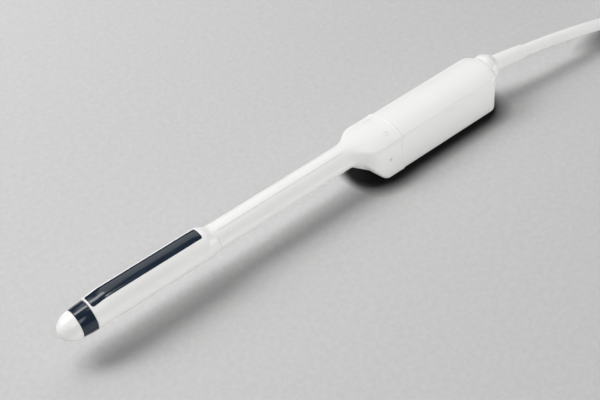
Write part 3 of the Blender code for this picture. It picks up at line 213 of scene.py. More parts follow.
TAIL_ROUTE = (
    (388.0 * MM, 0.4 * MM, 23.4 * MM),
    (408.0 * MM, -1.6 * MM, 26.4 * MM),
    (424.0 * MM, -4.6 * MM, 28.6 * MM),
    (438.5 * MM, -8.4 * MM, 28.9 * MM),
    (451.0 * MM, -12.1 * MM, 28.5 * MM),
    (467.0 * MM, -16.2 * MM, 23.6 * MM),
    (483.0 * MM, -19.1 * MM, 15.8 * MM),
    (495.0 * MM, CONNECTOR_AXIS_Y, 12.6 * MM),
    (CONNECTOR_BOOT_TIP, CONNECTOR_AXIS_Y, 12.0 * MM),
)

# Steps round and along the pieces
ROUND_STEPS = 128
NOSE_STEPS = 40
BAND_STEPS = 16
HEAD_TAPER_STEPS = 20
HEAD_STEPS = 12
HEAD_CONE_STEPS = 24
WINDOW_CORNER_STEPS = 8
SHAFT_STEPS = 10
FLARE_STEPS = 40
LIP_STEPS = 5
BEVEL_STEPS = 4
SLEEVE_STEPS = 8
REAR_STEPS = 14
PLUG_STEPS = 48
TUBE_STEPS = 64
BOOT_STEPS = 12
ROUTE_STEPS = 6
CABLE_RESOLUTION = 10

# Directions round a housing section, in degrees from straight up: first, last and steps
CROWN_DIRECTIONS = (-24.0, 24.0, 16)
CORNER_DIRECTIONS = (27.0, 90.0, 16)
FOOT_DIRECTIONS = (93.0, 179.0, 20)
LEAST_SWING = 0.01 * MM

# Soft edges and shading
FILLET_STEPS = 4
FILLET_REACH = 0.45
SMUDGES_PER_PATCH = 2.3
WAVES_PER_PATCH = 0.7
EDGE_SEGMENTS = 3
EDGE_ANGLE = radians(50)
SHARP_ANGLE = radians(35)
FLAT_ANGLE = radians(150)

# Floor, with the reach of the contact shadow painted under a piece close above it, and the range
# of openness over which that painted shadow fades
FLOOR_HALF_SIZE = 3.0
PAINTED_SHADOW_REACH = 14.0 * MM
PAINTED_SHADOW_OPENNESS = (0.66, 1.0)

# Point that the lamps face, even light from all round, and the backdrop as the camera sees it
AIM_POINT = (0.0, 0.0, 20.0 * MM)
WORLD_STRENGTH = 0.03
BACKDROP_STRENGTH = 0.55

# Camera of the photograph
CAMERA_PLACE = (-303.4 * MM, -413.2 * MM, 497.8 * MM)
CAMERA_AZIMUTH = radians(-35.336)
CAMERA_ELEVATION = radians(43.866)
CAMERA_ROLL = radians(-6.092)
CAMERA_LENS = 72.0
SENSOR_WIDTH = 36.0
NEAREST_SEEN = 0.02


def at(station):
    """The X of a station along the probe."""
    return station - BODY_LENGTH / 2


def mix(first, second, share):
    return first + (second - first) * share


def eased(share, bend):
    """A straight ramp from 0 to 1 with its two ends rounded over the share called bend."""
    share = min(max(share, 0.0), 1.0)
    scale = 2.0 * bend * (1.0 - bend)
    if share < bend:
        return share * share / scale
    if share > 1.0 - bend:
        return 1.0 - (1.0 - share) ** 2 / scale
    return (share - bend / 2.0) / (1.0 - bend)


def spread(first, last, count):
    """Evenly spaced values from first to last, both included."""
    return [mix(first, last, step / count) for step in range(count + 1)]


def full_turn(steps):
    """Evenly spaced angles all the way round, from 0 on."""
    return [2.0 * pi * step / steps for step in range(steps)]


# Node materials

def new_material(name):
    look = bpy.data.materials.new(name)
    look.use_nodes = True
    tree = look.node_tree
    return look, tree, tree.nodes["Principled BSDF"]


def add_node(tree, kind, **inputs):
    node = tree.nodes.new(kind)
    for key, value in inputs.items():
        node.inputs[key.replace("_", " ")].default_value = value
    return node


def place_of(tree):
    """Coordinates in metres that stay with the piece."""
    return tree.nodes.new("ShaderNodeTexCoord").outputs["Object"]


def noise(tree, scale, detail=3.0, rough=0.5, stretch=(1.0, 1.0, 1.0)):
    """A noise pattern with about scale bumps to the metre."""
    mapping = tree.nodes.new("ShaderNodeMapping")
    mapping.inputs["Scale"].default_value = stretch
    tree.links.new(place_of(tree), mapping.inputs["Vector"])
    node = add_node(tree, "ShaderNodeTexNoise", Scale=scale, Detail=detail, Roughness=rough)
    tree.links.new(mapping.outputs["Vector"], node.inputs["Vector"])
    return node.outputs["Fac"]


def ranged(tree, value, low, high, first=0.3, last=0.7):
    """Maps the middle of a noise value to the range from low to high."""
    node = tree.nodes.new("ShaderNodeMapRange")
    node.inputs["From Min"].default_value = first
    node.inputs["From Max"].default_value = last
    node.inputs["To Min"].default_value = low
    node.inputs["To Max"].default_value = high
    tree.links.new(value, node.inputs["Value"])
    return node.outputs["Result"]


def blended(tree, share, first, second):
    """A colour between two colours, by a share that varies over the surface.

    The second one may be the output of another node.
    """
    node = tree.nodes.new("ShaderNodeMix")
    node.data_type = "RGBA"
    node.inputs["A"].default_value = (*first, 1.0)
    if isinstance(second, tuple):
        node.inputs["B"].default_value = (*second, 1.0)
    else:
        tree.links.new(second, node.inputs["B"])
    tree.links.new(share, node.inputs["Factor"])
    return node.outputs["Result"]


def bumped(tree, shader, layers):
    """Adds bump from (height value, depth in metres) layers, coarse to fine."""
    normal = None
    for height, depth in layers:
        node = tree.nodes.new("ShaderNodeBump")
        node.inputs["Distance"].default_value = depth
        tree.links.new(height, node.inputs["Height"])
        if normal:
            tree.links.new(normal, node.inputs["Normal"])
        normal = node.outputs["Normal"]
    tree.links.new(normal, shader.inputs["Normal"])


def surface(name, light, dark, rough, patch, grain, depth, wave=0.0, **fixed):
    """A moulded or cast surface: patchy colour and roughness, fine grain and slight waviness.

    light and dark are the two colours, rough the range of roughness, patch and grain the number
    of patches and grains to the metre, and depth the height of the grain.
    """
    look, tree, shader = new_material(name)
    patches = noise(tree, patch)
    tree.links.new(
        blended(tree, ranged(tree, patches, 0.0, 1.0), light, dark), shader.inputs["Base Color"]
    )
    smudges = noise(tree, patch * SMUDGES_PER_PATCH, detail=4.0)
    tree.links.new(ranged(tree, smudges, *rough), shader.inputs["Roughness"])
    layers = [(noise(tree, grain, detail=2.0), depth)]
    if wave:
        layers.insert(0, (noise(tree, patch * WAVES_PER_PATCH, detail=1.0), wave))
    bumped(tree, shader, layers)
    for key, value in fixed.items():
        shader.inputs[key.replace("_", " ")].default_value = value
    shader.inputs["Subsurface Radius"].default_value = (1.0, 1.0, 1.0)
    return look


def white_shell():
    """Satin white moulded plastic, a little glossier in some places than in others."""
    return surface(
        "white_shell", (0.865, 0.865, 0.852), (0.852, 0.852, 0.838), (0.28, 0.36), 45.0, 2600.0,
        0.004 * MM, wave=0.005 * MM, Specular_IOR_Level=0.5, Coat_Weight=0.12,
        Coat_Roughness=0.18, Subsurface_Weight=0.06, Subsurface_Scale=0.002,
    )


def lens_rubber():
    """Glossy blue-grey silicone with faint streaks along it."""
    look, tree, shader = new_material("lens_rubber")
    streaks = noise(tree, 260.0, detail=3.0, stretch=(0.15, 1.0, 1.0))
    clouds = noise(tree, 70.0, detail=2.0)
    cloudy = ranged(tree, clouds, 0.0, 1.0)
    base = blended(tree, cloudy, (0.011, 0.019, 0.033), (0.015, 0.025, 0.042))
    tree.links.new(base, shader.inputs["Base Color"])
    tree.links.new(ranged(tree, streaks, 0.09, 0.16), shader.inputs["Roughness"])
    bumped(tree, shader, [(clouds, 0.015 * MM), (noise(tree, 1800.0), 0.002 * MM)])
    shader.inputs["Specular IOR Level"].default_value = 0.55
    return look


def cable_white():
    """Soft white cable jacket with a fine grain and a matt bloom."""
    return surface(
        "cable_white", (0.855, 0.855, 0.84), (0.825, 0.825, 0.805), (0.40, 0.55), 60.0, 1700.0,
        0.008 * MM, Specular_IOR_Level=0.45, Subsurface_Weight=0.04, Subsurface_Scale=0.002,
    )


def brushed_steel():
    """Steel with fine strokes along it, which change its colour and roughness a little."""
    look, tree, shader = new_material("steel")
    strokes = noise(tree, 900.0, detail=2.0, stretch=(0.05, 1.0, 1.0))
    base = blended(tree, ranged(tree, strokes, 0.0, 1.0), (0.64, 0.64, 0.63), (0.54, 0.54, 0.54))
    tree.links.new(base, shader.inputs["Base Color"])
    tree.links.new(ranged(tree, strokes, 0.24, 0.42), shader.inputs["Roughness"])
    bumped(tree, shader, [(strokes, 0.004 * MM)])
    shader.inputs["Metallic"].default_value = 1.0
    return look


def make_looks():
    """One procedural material for each slot of the record.

    Each plain one has a name, a light and a dark colour, its range of roughness, and the number
    of patches and grains to the metre.
    """
    looks = {
        "white_shell": white_shell(),
        "lens_rubber": lens_rubber(),
        "cable_white": cable_white(),
        "steel": brushed_steel(),
    }
    plain = (
        ("ceramic", (0.46, 0.41, 0.33), (0.40, 0.36, 0.29), (0.5, 0.7), 120.0, 900.0),
        ("backing", (0.09, 0.09, 0.09), (0.06, 0.06, 0.06), (0.7, 0.9), 150.0, 1100.0),
        ("flex_film", (0.58, 0.30, 0.06), (0.50, 0.25, 0.04), (0.3, 0.5), 90.0, 1500.0),
        ("frame_plastic", (0.27, 0.28, 0.29), (0.22, 0.23, 0.24), (0.5, 0.7), 80.0, 1600.0),
        ("bundle_jacket", (0.22, 0.24, 0.28), (0.18, 0.20, 0.24), (0.5, 0.7), 90.0, 1300.0),
        ("gasket_rubber", (0.07, 0.07, 0.07), (0.05, 0.05, 0.05), (0.7, 0.9), 110.0, 1500.0),
        ("board_green", (0.04, 0.22, 0.09), (0.025, 0.17, 0.07), (0.35, 0.55), 100.0, 1400.0),
        ("socket_black", (0.045, 0.045, 0.045), (0.03, 0.03, 0.03), (0.4, 0.6), 90.0, 1500.0),
        ("tie_strap", (0.055, 0.055, 0.06), (0.035, 0.035, 0.038), (0.75, 0.95), 140.0, 1200.0),
        ("connector_grey", (0.735, 0.74, 0.735), (0.69, 0.70, 0.695), (0.42, 0.58), 40.0, 1300.0),
    )
    for name, *values in plain:
        looks[name] = surface(name, *values, depth=0.02 * MM)
    return looks


LOOKS = make_looks()


def dress_nodes():
    """Gives every node of the frame the material of its slot."""
    for entry in frame["record"]["subparts"]:
        data = frame["nodes"][entry["node"]].data
        data.materials.clear()
        data.materials.append(LOOKS[entry["material_slot"]])


# Building pieces

def shade(data):
    """Shades a mesh smooth, with its corners kept sharp."""
    data.shade_smooth()
    data.set_sharp_from_angle(angle=SHARP_ANGLE)


def add_mesh(name, shape, look):
    """Makes an object of a finished shape, which is used up."""
    bmesh.ops.recalc_face_normals(shape, faces=shape.faces)
    data = bpy.data.meshes.new(name)
    shape.to_mesh(data)
    shape.free()
    shade(data)
    item = bpy.data.objects.new(name, data)
    bpy.context.scene.collection.objects.link(item)
    if look:
        data.materials.append(LOOKS[look])
    return item


def place_piece(item, look, *nodes):
    """Rides a finished piece on the probe's body and hides the nodes that it stands for."""
    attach(item, "root")
    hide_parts(*nodes)
    return item


def lofted(name, rings, look, closed=True):
    """A surface through rings of equally many points, closed on itself or with capped ends."""
    shape = bmesh.new()
    rows = [[shape.verts.new(point) for point in ring] for ring in rings]
    count = len(rows[0])
    following_rows = rows[1:] + rows[:1] if closed else rows[1:]
    for row, following in zip(rows, following_rows):
        for index in range(count):
            after = (index + 1) % count
            shape.faces.new((row[index], row[after], following[after], following[index]))
    if not closed:
        shape.faces.new(rows[0])
        shape.faces.new(rows[-1])
    return add_mesh(name, shape, look)


def turned_shape(outline, steps, place):
    """A closed surface of turned (position, radius) points. Points of no radius become one.

    place gives the point for a position, a radius and a turn. An outline that starts and ends on
    the axis is closed by it, and any other one runs on to its own start.
    """
    shape = bmesh.new()
    rings = []
    for position, radius in outline:
        if radius == 0.0:
            rings.append([shape.verts.new(place(position, 0.0, 0.0))] * steps)
            continue
        rings.append([
            shape.verts.new(place(position, radius, turn)) for turn in full_turn(steps)
        ])
    meets_axis = outline[0][1] == 0.0 and outline[-1][1] == 0.0
    following_rings = rings[1:] if meets_axis else rings[1:] + rings[:1]
    for ring, following in zip(rings, following_rings):
        for index in range(steps):
            after = (index + 1) % steps
            corners = []
            for corner in (ring[index], ring[after], following[after], following[index]):
                if corner not in corners:
                    corners.append(corner)
            shape.faces.new(corners)
    return shape


def around(station, radius, turn, height=AXIS_HEIGHT):
    """A point of a circle about the probe's axis, or about a line above or below it."""
    return at(station), radius * sin(turn), height + radius * cos(turn)


def turned(name, outline, look):
    """Turns (station, radius) points about the probe's axis."""
    return add_mesh(name, turned_shape(outline, ROUND_STEPS, around), look)


def rounded(outline, radius):
    """Replaces each sharp corner of a closed outline of (station, radius) points by an arc."""
    points = [Vector(point) for point in outline]
    count = len(points)
    result = []
    for index, corner in enumerate(points):
        before = points[index - 1] - corner
        after = points[(index + 1) % count] - corner
        bend = before.angle(after, pi) if before.length and after.length else pi
        if bend > FLAT_ANGLE or corner.y == 0.0:
            result.append(tuple(corner))
            continue
        reach = min(radius, before.length * FILLET_REACH, after.length * FILLET_REACH)
        start = corner + before.normalized() * reach
        end = corner + after.normalized() * reach
        for share in spread(0.0, 1.0, FILLET_STEPS):
            rest = 1.0 - share
            point = start * rest ** 2 + corner * 2.0 * share * rest + end * share ** 2
            result.append(tuple(point))
    return result


def applied(item):
    """Applies the modifiers of a piece, so that its mesh is its final shape."""
    graph = bpy.context.evaluated_depsgraph_get()
    data = bpy.data.meshes.new_from_object(item.evaluated_get(graph))
    old = item.data
    item.modifiers.clear()
    item.data = data
    bpy.data.meshes.remove(old)
    return item


def boolean(item, others, operation="DIFFERENCE"):
    """Cuts or trims a piece by others, which are used up."""
    for other in others:
        step = item.modifiers.new(other.name, "BOOLEAN")
        step.operation = operation
        step.solver = "EXACT"
        step.object = other
    applied(item)
    for other in others:
        bpy.data.objects.remove(other, do_unlink=True)
    return item


def soften_edges(item, width):
    """Bevels the corners of a finished piece."""
    bevel = item.modifiers.new("edges", "BEVEL")
    bevel.width = width
    bevel.segments = EDGE_SEGMENTS
    bevel.angle_limit = EDGE_ANGLE
    bevel.harden_normals = False
    bevel.use_clamp_overlap = True
    applied(item)
    shade(item.data)
    return item


def smooth_route(points, steps):
    """Points of the Catmull-Rom curve through the given points, with steps to each span."""
    fixed = [Vector(point) for point in points]
    padded = [2 * fixed[0] - fixed[1], *fixed, 2 * fixed[-1] - fixed[-2]]
    route = []
    for index in range(1, len(padded) - 2):
        before, start, end, after = padded[index - 1:index + 3]
        for step in range(steps):
            share = step / steps
            bend = 2 * start + (end - before) * share
            bend += (2 * before - 5 * start + 4 * end - after) * share ** 2
            bend += (3 * start - before - 3 * end + after) * share ** 3
            route.append(bend / 2)
    route.append(fixed[-1])
    return route


# Outlines of the housing

def make_normals():
    """Directions round a housing section, close together where its corners turn."""
    crown = [radians(angle) for angle in spread(*CROWN_DIRECTIONS)]
    corner = [radians(angle) for angle in spread(*CORNER_DIRECTIONS)]
    foot = [radians(angle) for angle in spread(*FOOT_DIRECTIONS)]
    side = corner + foot
    return crown + side + [-angle for angle in reversed(side)]


NORMALS = make_normals()


def outline_point(normal, half_width, crest, bottom, crown, corner, foot):
    """The point of the housing outline that faces in a direction given from straight up."""
    side = 1.0 if normal >= 0.0 else -1.0
    turn = abs(normal)
    reach = half_width - corner
    swing = crown - corner
    limit = asin(min(reach / swing, 1.0)) if swing > LEAST_SWING else 0.0
    if turn <= limit:
        return side * crown * sin(turn), crest - crown + crown * cos(turn)
    if turn <= pi / 2.0:
        drop = crest - crown + swing * cos(limit)
        return side * (reach + corner * sin(turn)), drop + corner * cos(turn)
    return side * (half_width - foot + foot * sin(turn)), bottom + foot + foot * cos(turn)


def section(station, half_width, crest, bottom, crown, corner):
    """The outline of the housing at a station, from its sizes there."""
    corner = max(corner, LEAST_CORNER)
    sizes = (half_width, crest, bottom, crown, corner, corner)
    return [(at(station), *outline_point(normal, *sizes)) for normal in NORMALS]


def circle(station, radius, height):
    """A round outline with as many points as a section of the housing."""
    return [around(station, radius, normal, height) for normal in NORMALS]


def housing_section(station, inset=0.0):
    """The outline of the shaft, flare and collar at a station, inset all round."""
    wide = eased((station - FLARE_START) / SIDE_FLARE_LENGTH, SIDE_FLARE_BEND)
    deep = eased((station - FLARE_START - BELLY_DELAY) / (FLARE_LENGTH - BELLY_DELAY), BELLY_BEND)
    return section(
        station,
        mix(SHAFT_RADIUS, HANDLE_WIDTH / 2.0 + COLLAR_PROUD, wide) - inset,
        mix(AXIS_HEIGHT + SHAFT_RADIUS, HANDLE_CREST + COLLAR_PROUD, wide) - inset,
        mix(AXIS_HEIGHT - SHAFT_RADIUS, 0.0, deep) + max(inset, 0.0),
        mix(SHAFT_RADIUS, CROWN_RADIUS, wide) - inset,
        mix(SHAFT_RADIUS, CORNER_RADIUS, wide) - inset,
    )


def sleeve_section(station, inset=0.0, crest_inset=None):
    """The outline of the handle at a station, inset all round, with its own inset at the crest."""
    crest_inset = inset if crest_inset is None else crest_inset
    return section(
        station, HANDLE_WIDTH / 2.0 - inset, HANDLE_CREST - crest_inset, inset,
        CROWN_RADIUS - inset, CORNER_RADIUS - inset,
    )


def head_stage(station):
    """Outer radius and axis height of the scan head at a station."""
    grown = eased((station - HEAD_START) / HEAD_TAPER_LENGTH, HEAD_TAPER_BEND)
    shrunk = eased((station - HEAD_END + HEAD_CONE_LENGTH) / HEAD_CONE_LENGTH, HEAD_CONE_BEND)
    radius = mix(HEAD_FRONT_RADIUS, HEAD_RADIUS, grown)
    height = mix(HEAD_FRONT_HEIGHT, HEAD_HEIGHT, grown)
    return mix(radius, SHAFT_RADIUS, shrunk), mix(height, AXIS_HEIGHT, shrunk)


def band_radius(station):
    """Outer radius of the lens band, which widens to the rear and bulges a little."""
    share = (station - NOSE_LENGTH) / (BAND_WIDTH + 2.0 * FIT)
    return mix(NOSE_REAR_RADIUS, BAND_REAR_RADIUS, share) + BAND_BULGE * sin(pi * share)


# The probe's pieces

def make_nose():
    """The half-egg nose with a softened rear edge that meets the lens band."""
    centre = NOSE_LENGTH + NOSE_OVERRUN
    full = NOSE_REAR_RADIUS / sqrt(1.0 - (NOSE_OVERRUN / centre) ** 2)
    start = asin(NOSE_OVERRUN / centre)
    dome = [
        (centre - centre * sin(turn), full * cos(turn))
        for turn in spread(pi / 2.0, start, NOSE_STEPS)
    ]
    dome[0] = (0.0, 0.0)
    rear = NOSE_LENGTH + FIT - SEAM
    dome.pop()
    dome += [
        (rear - NOSE_EDGE * before, NOSE_REAR_RADIUS - NOSE_EDGE * inside)
        for before, inside in NOSE_EDGE_SHARES
    ]
    dome.append((rear, 0.0))
    place_piece(turned("nose_dome", dome, "white_shell"), "white_shell", "nose_cap")


def make_band():
    """The ring-shaped lens of the transverse array, slightly barrelled, with soft edges."""
    stations = spread(BAND_START + BAND_EDGE, BAND_END - BAND_EDGE, BAND_STEPS)
    outer = [(station, band_radius(station)) for station in stations]
    bore = NOSE_REAR_RADIUS - BAND_WALL
    front = (BAND_START, band_radius(BAND_START) - BAND_EDGE)
    rear = (BAND_END, band_radius(BAND_END) - BAND_EDGE)
    outline = [(BAND_START, bore), front, *outer, rear, (BAND_END, bore)]
    place_piece(turned("lens_band", outline, "lens_rubber"), "lens_rubber", "transverse_lens")


def rounded_block(name, half_width, corner, low, high):
    """An upright prism with a rounded rectangle in plan, over the window's length."""
    first = at(WINDOW_START) + WINDOW_WIDTH / 2.0 - half_width
    last = at(WINDOW_END) - WINDOW_WIDTH / 2.0 + half_width
    corners = (
        (last - corner, half_width - corner, 0.0), (first + corner, half_width - corner, 90.0),
        (first + corner, corner - half_width, 180.0), (last - corner, corner - half_width, 270.0),
    )
    plan = []
    for x, y, turn in corners:
        for angle in spread(turn, turn + 90.0, WINDOW_CORNER_STEPS):
            plan.append((x + corner * cos(radians(angle)), y + corner * sin(radians(angle))))
    return lofted(name, [[(x, y, z) for x, y in plan] for z in (low, high)], None, closed=False)


def head_rings(grow=0.0, ends=0.0):
    """Fine rings along the scan head, with softened ends where asked."""
    first = HEAD_START - FIT + SEAM
    last = HEAD_END + FIT - SEAM
    taper_end = HEAD_START + HEAD_TAPER_LENGTH
    cone_start = HEAD_END - HEAD_CONE_LENGTH
    stations = (
        spread(first + ends, taper_end, HEAD_TAPER_STEPS)
        + spread(taper_end, cone_start, HEAD_STEPS)[1:-1]
        + spread(cone_start, last - ends, HEAD_CONE_STEPS)
    )
    places = [(station, grow) for station in stations]
    if ends:
        places = [(first, -ends), *places, (last, -ends)]
    rings = []
    for station, more in places:
        radius, height = head_stage(station)
        rings.append(full_circle(station, radius + more, height))
    return rings


def full_circle(station, radius, height):
    """A round outline with evenly spaced points."""
    return [around(station, radius, turn, height) for turn in full_turn(ROUND_STEPS)]


def make_head():
    """The head shell with its window cut through, and the lens that fills the window."""
    bore = HEAD_RADIUS - HEAD_WALL
    inner = [
        full_circle(HEAD_END + FIT - SEAM, SHAFT_RADIUS - HEAD_WALL, AXIS_HEIGHT),
        full_circle(HEAD_END - HEAD_CONE_LENGTH, bore, HEAD_HEIGHT),
        full_circle(HEAD_START + HEAD_TAPER_LENGTH, bore, HEAD_HEIGHT),
        full_circle(HEAD_START - FIT + SEAM, BAND_REAR_RADIUS - HEAD_WALL, AXIS_HEIGHT),
    ]
    shell = lofted("scan_head", head_rings(ends=HEAD_EDGE) + inner, "white_shell")
    half = WINDOW_WIDTH / 2.0
    low = HEAD_HEIGHT + half
    high = HEAD_HEIGHT + 2.0 * HEAD_RADIUS
    boolean(shell, [rounded_block("window_hole", half, WINDOW_CORNER, low, high)])
    soften_edges(shell, WINDOW_EDGE)
    place_piece(shell, "white_shell", "head_shell")
    lens = lofted("window_lens", head_rings(grow=LENS_PROUD), "lens_rubber", closed=False)
    bottom = HEAD_HEIGHT + HEAD_RADIUS - LENS_DEPTH
    outline = rounded_block("lens_outline", half - LENS_GAP, WINDOW_CORNER, bottom, high)
    boolean(lens, [outline], "INTERSECT")
    soften_edges(lens, LENS_EDGE)
    place_piece(lens, "lens_rubber", "linear_lens")


def make_housing():
    """Shaft, flare and collar as one moulding with two fine grooves and its screw holes."""
    start = SHAFT_START
    outer = [
        circle(start, SHAFT_RADIUS - HOUSING_EDGE, AXIS_HEIGHT),
        circle(start + HOUSING_EDGE, SHAFT_RADIUS, AXIS_HEIGHT),
    ]
    stations = spread(start + EDGE_RUN, FLARE_START, SHAFT_STEPS)
    stations += spread(FLARE_START, COLLAR_START, FLARE_STEPS)[1:]
    outer += [housing_section(station) for station in stations]
    lip_start = COLLAR_END - COLLAR_LIP_LENGTH
    lip_crest = COLLAR_END - COLLAR_BEVEL - HOUSING_EDGE
    for share in spread(0.0, 1.0, LIP_STEPS):
        inset = -COLLAR_LIP * eased(share, COLLAR_LIP_BEND)
        outer.append(housing_section(mix(lip_start, lip_crest, share), inset))
    for turn in spread(0.0, pi / 2.0, BEVEL_STEPS):
        inset = COLLAR_BEVEL * (1.0 - cos(turn)) - COLLAR_LIP
        outer.append(housing_section(COLLAR_END - COLLAR_BEVEL * (1.0 - sin(turn)), inset))
    inner = [
        housing_section(COLLAR_END, HANDLE_WALL),
        housing_section(COLLAR_START, HANDLE_WALL),
        housing_section(FLARE_START, HANDLE_WALL),
        circle(start, SHAFT_RADIUS - HANDLE_WALL, AXIS_HEIGHT),
    ]
    housing = lofted("shaft_and_collar", outer + inner, "white_shell")
    cutters = [groove_cutter(side) for side in (-1.0, 1.0)]
    cutters += [plug_hole(name, place, outward) for name, place, outward in plug_places()]
    boolean(housing, cutters)
    shade(housing.data)
    place_piece(housing, "white_shell", "shaft_housing")


def bar_shape(length, width, height):
    """A block about the origin, for a cutter."""
    shape = bmesh.new()
    size = Matrix.Diagonal((length, width, height, 1.0))
    bmesh.ops.create_cube(shape, size=1.0, matrix=size)
    return shape


def groove_cutter(side):
    """A thin bar that cuts the fine groove along the upper side of the shaft."""
    half = (FLARE_START - SHAFT_START) / 2.0 - GROOVE_END_MARGIN
    shape = bar_shape(2.0 * half, GROOVE_WIDTH, 2.0 * GROOVE_DEPTH)
    bar = add_mesh("groove_cutter", shape, None)
    angle = side * GROOVE_ANGLE
    bar.rotation_euler = (-angle, 0.0, 0.0)
    bar.location = (
        at((SHAFT_START + FLARE_START) / 2.0), SHAFT_RADIUS * sin(angle),
        AXIS_HEIGHT + SHAFT_RADIUS * cos(angle),
    )
    return bar


def plug_places():
    """Node name, surface point and outward direction of each screw plug."""
    top = at(COLLAR_END - TOP_PLUG_SETBACK)
    side = at(COLLAR_END - SIDE_PLUG_SETBACK)
    crest = HANDLE_CREST + COLLAR_PROUD - CROWN_RADIUS
    crest += sqrt(CROWN_RADIUS ** 2 - TOP_PLUG_SPREAD ** 2)
    half = HANDLE_WIDTH / 2.0 + COLLAR_PROUD
    places = []
    for word, sign in (("left", 1.0), ("right", -1.0)):
        across = sign * TOP_PLUG_SPREAD
        lean = across / CROWN_RADIUS
        places += [
            ("screw_plug_top_" + word, (top, across, crest), (0.0, lean, 1.0)),
            ("screw_plug_bottom_" + word, (top, across, 0.0), (0.0, 0.0, -1.0)),
            ("screw_plug_side_" + word, (side, sign * half, SIDE_PLUG_HEIGHT), (0.0, sign, 0.0)),
        ]
    return places


def around_upright(height, radius, turn):
    """A point of a circle about the Z axis."""
    return radius * cos(turn), radius * sin(turn), height


def upright_turned(name, outline, look, place, outward):
    """Turns (height, radius) points about the outward direction at a place."""
    shape = turned_shape(outline, PLUG_STEPS, around_upright)
    turn = Vector((0.0, 0.0, 1.0)).rotation_difference(Vector(outward).normalized())
    shape.transform(Matrix.Translation(place) @ turn.to_matrix().to_4x4())
    return add_mesh(name, shape, look)


def plug_hole(name, place, outward):
    """The cutter of the blind hole that a plug sits in."""
    radius = PLUG_RADIUS + PLUG_GAP
    outline = [
        (PLUG_HOLE_RISE, 0.0), (PLUG_HOLE_RISE, radius),
        (-PLUG_HOLE_DEPTH, radius), (-PLUG_HOLE_DEPTH, 0.0),
    ]
    return upright_turned(name + "_hole", outline, None, place, outward)


def slot_cutter(place):
    """A thin slanted bar that cuts the driver slot of a side plug."""
    shape = bar_shape(PLUG_SLOT_LENGTH, 2.0 * PLUG_SLOT_DEPTH, PLUG_SLOT_WIDTH)
    shape.transform(Matrix.Translation(place) @ Matrix.Rotation(PLUG_SLOT_SLANT, 4, "Y"))
    return add_mesh("slot_cutter", shape, None)


def make_plugs():
    """Flush plugs with a soft rim and a shallow dish. Those on the sides have a driver slot."""
    outline = [(height, PLUG_RADIUS * share - inside) for height, share, inside in PLUG_FACE]
    outline += [(-PLUG_DEPTH, PLUG_RADIUS), (-PLUG_DEPTH, 0.0)]
    for name, place, outward in plug_places():
        short_name = name.replace("screw_plug", "plug")
        plug = upright_turned(short_name, outline, "white_shell", place, outward)
        if "side" in name:
            boolean(plug, [slot_cutter(place)])
        place_piece(plug, "white_shell", name)


def make_sleeve():
    """The square handle with its crowned top and rounded rear end."""
    front = COLLAR_END + SEAM
    outer = [
        sleeve_section(front, HANDLE_WALL),
        sleeve_section(front, SLEEVE_EDGE),
        sleeve_section(front + SLEEVE_EDGE * SLEEVE_EDGE_SHARE, SLEEVE_EDGE * SLEEVE_EDGE_SHARE),
        sleeve_section(front + SLEEVE_EDGE),
    ]
    stations = spread(front + EDGE_RUN, SLEEVE_END - REAR_FILLET, SLEEVE_STEPS)
    outer += [sleeve_section(station) for station in stations]
    for turn in spread(0.0, pi / 2.0, REAR_STEPS)[1:]:
        inset = REAR_FILLET * (1.0 - cos(turn))
        station = SLEEVE_END - REAR_FILLET * (1.0 - sin(turn))
        outer.append(sleeve_section(station, inset, REAR_CREST_SHARE * inset))
    hole = RING_RADIUS - RING_OVERLAP
    inner = [
        circle(SLEEVE_END, hole, AXIS_HEIGHT - RING_EDGE),
        circle(SLEEVE_END - HANDLE_WALL, hole, AXIS_HEIGHT - RING_EDGE),
        sleeve_section(SLEEVE_END - REAR_FILLET, HANDLE_WALL),
    ]
    sleeve = lofted("handle_shell", outer + inner, "white_shell")
    place_piece(sleeve, "white_shell", "handle_sleeve")


def make_gland():
    """The gland ring with its crest and shoulder, and the tapered boot that it holds."""
    front = RING_START - FIT + SEAM
    shoulder_radius = mix(RING_RADIUS, RING_REAR_RADIUS, RING_SHOULDER_DROP)
    outline = [
        (front, BOOT_RADIUS - RING_FRONT_BITE),
        (front, RING_RADIUS - RING_EDGE),
        (RING_START + RING_EDGE, RING_RADIUS),
        (mix(RING_START, RING_END, RING_CREST_END), RING_RADIUS),
        (mix(RING_START, RING_END, RING_STEP_END), RING_RADIUS - RING_EDGE),
        (mix(RING_START, RING_END, RING_SHOULDER), shoulder_radius),
        (RING_END, RING_REAR_RADIUS),
        (RING_END, BOOT_RADIUS - RING_REAR_BITE),
    ]
    ring = turned("gland_collar", rounded(outline, RING_FILLET), "white_shell")
    place_piece(ring, "white_shell", "gland_ring")
    boot = tapered_tube("boot_sleeve", BOOT_ROUTE, BOOT_RADIUS, BOOT_END_RADIUS)
    place_piece(boot, "cable_white", "strain_relief_boot")


def tapered_tube(name, points, first_radius, last_radius):
    """A round tube along a route, with a taper and a softly rounded far end."""
    route = smooth_route(points, BOOT_STEPS)
    turns = full_turn(TUBE_STEPS)
    rings = []
    last = len(route) - 1
    for index, point in enumerate(route):
        ahead = (route[min(index + 1, last)] - route[max(index - 1, 0)]).normalized()
        side = ahead.cross(Vector((0.0, 0.0, 1.0))).normalized()
        up = side.cross(ahead)
        radius = mix(first_radius, last_radius, index / last)
        rings.append([point + radius * (cos(turn) * up + sin(turn) * side) for turn in turns])
    end = route[-1]
    ahead = (route[-1] - route[-2]).normalized()
    rings[-1] = [end - ahead * BOOT_LIP + (point - end) for point in rings[-1]]
    for turn in spread(0.0, pi / 2.0, BEVEL_STEPS)[1:]:
        shift = ahead * BOOT_LIP * (sin(turn) - 1.0)
        scale = 1.0 - BOOT_LIP * (1.0 - cos(turn)) / last_radius
        rings.append([
            end + shift + (point - end + ahead * BOOT_LIP) * scale for point in rings[last]
        ])
    return lofted(name, rings, "cable_white", closed=False)


# The free cable

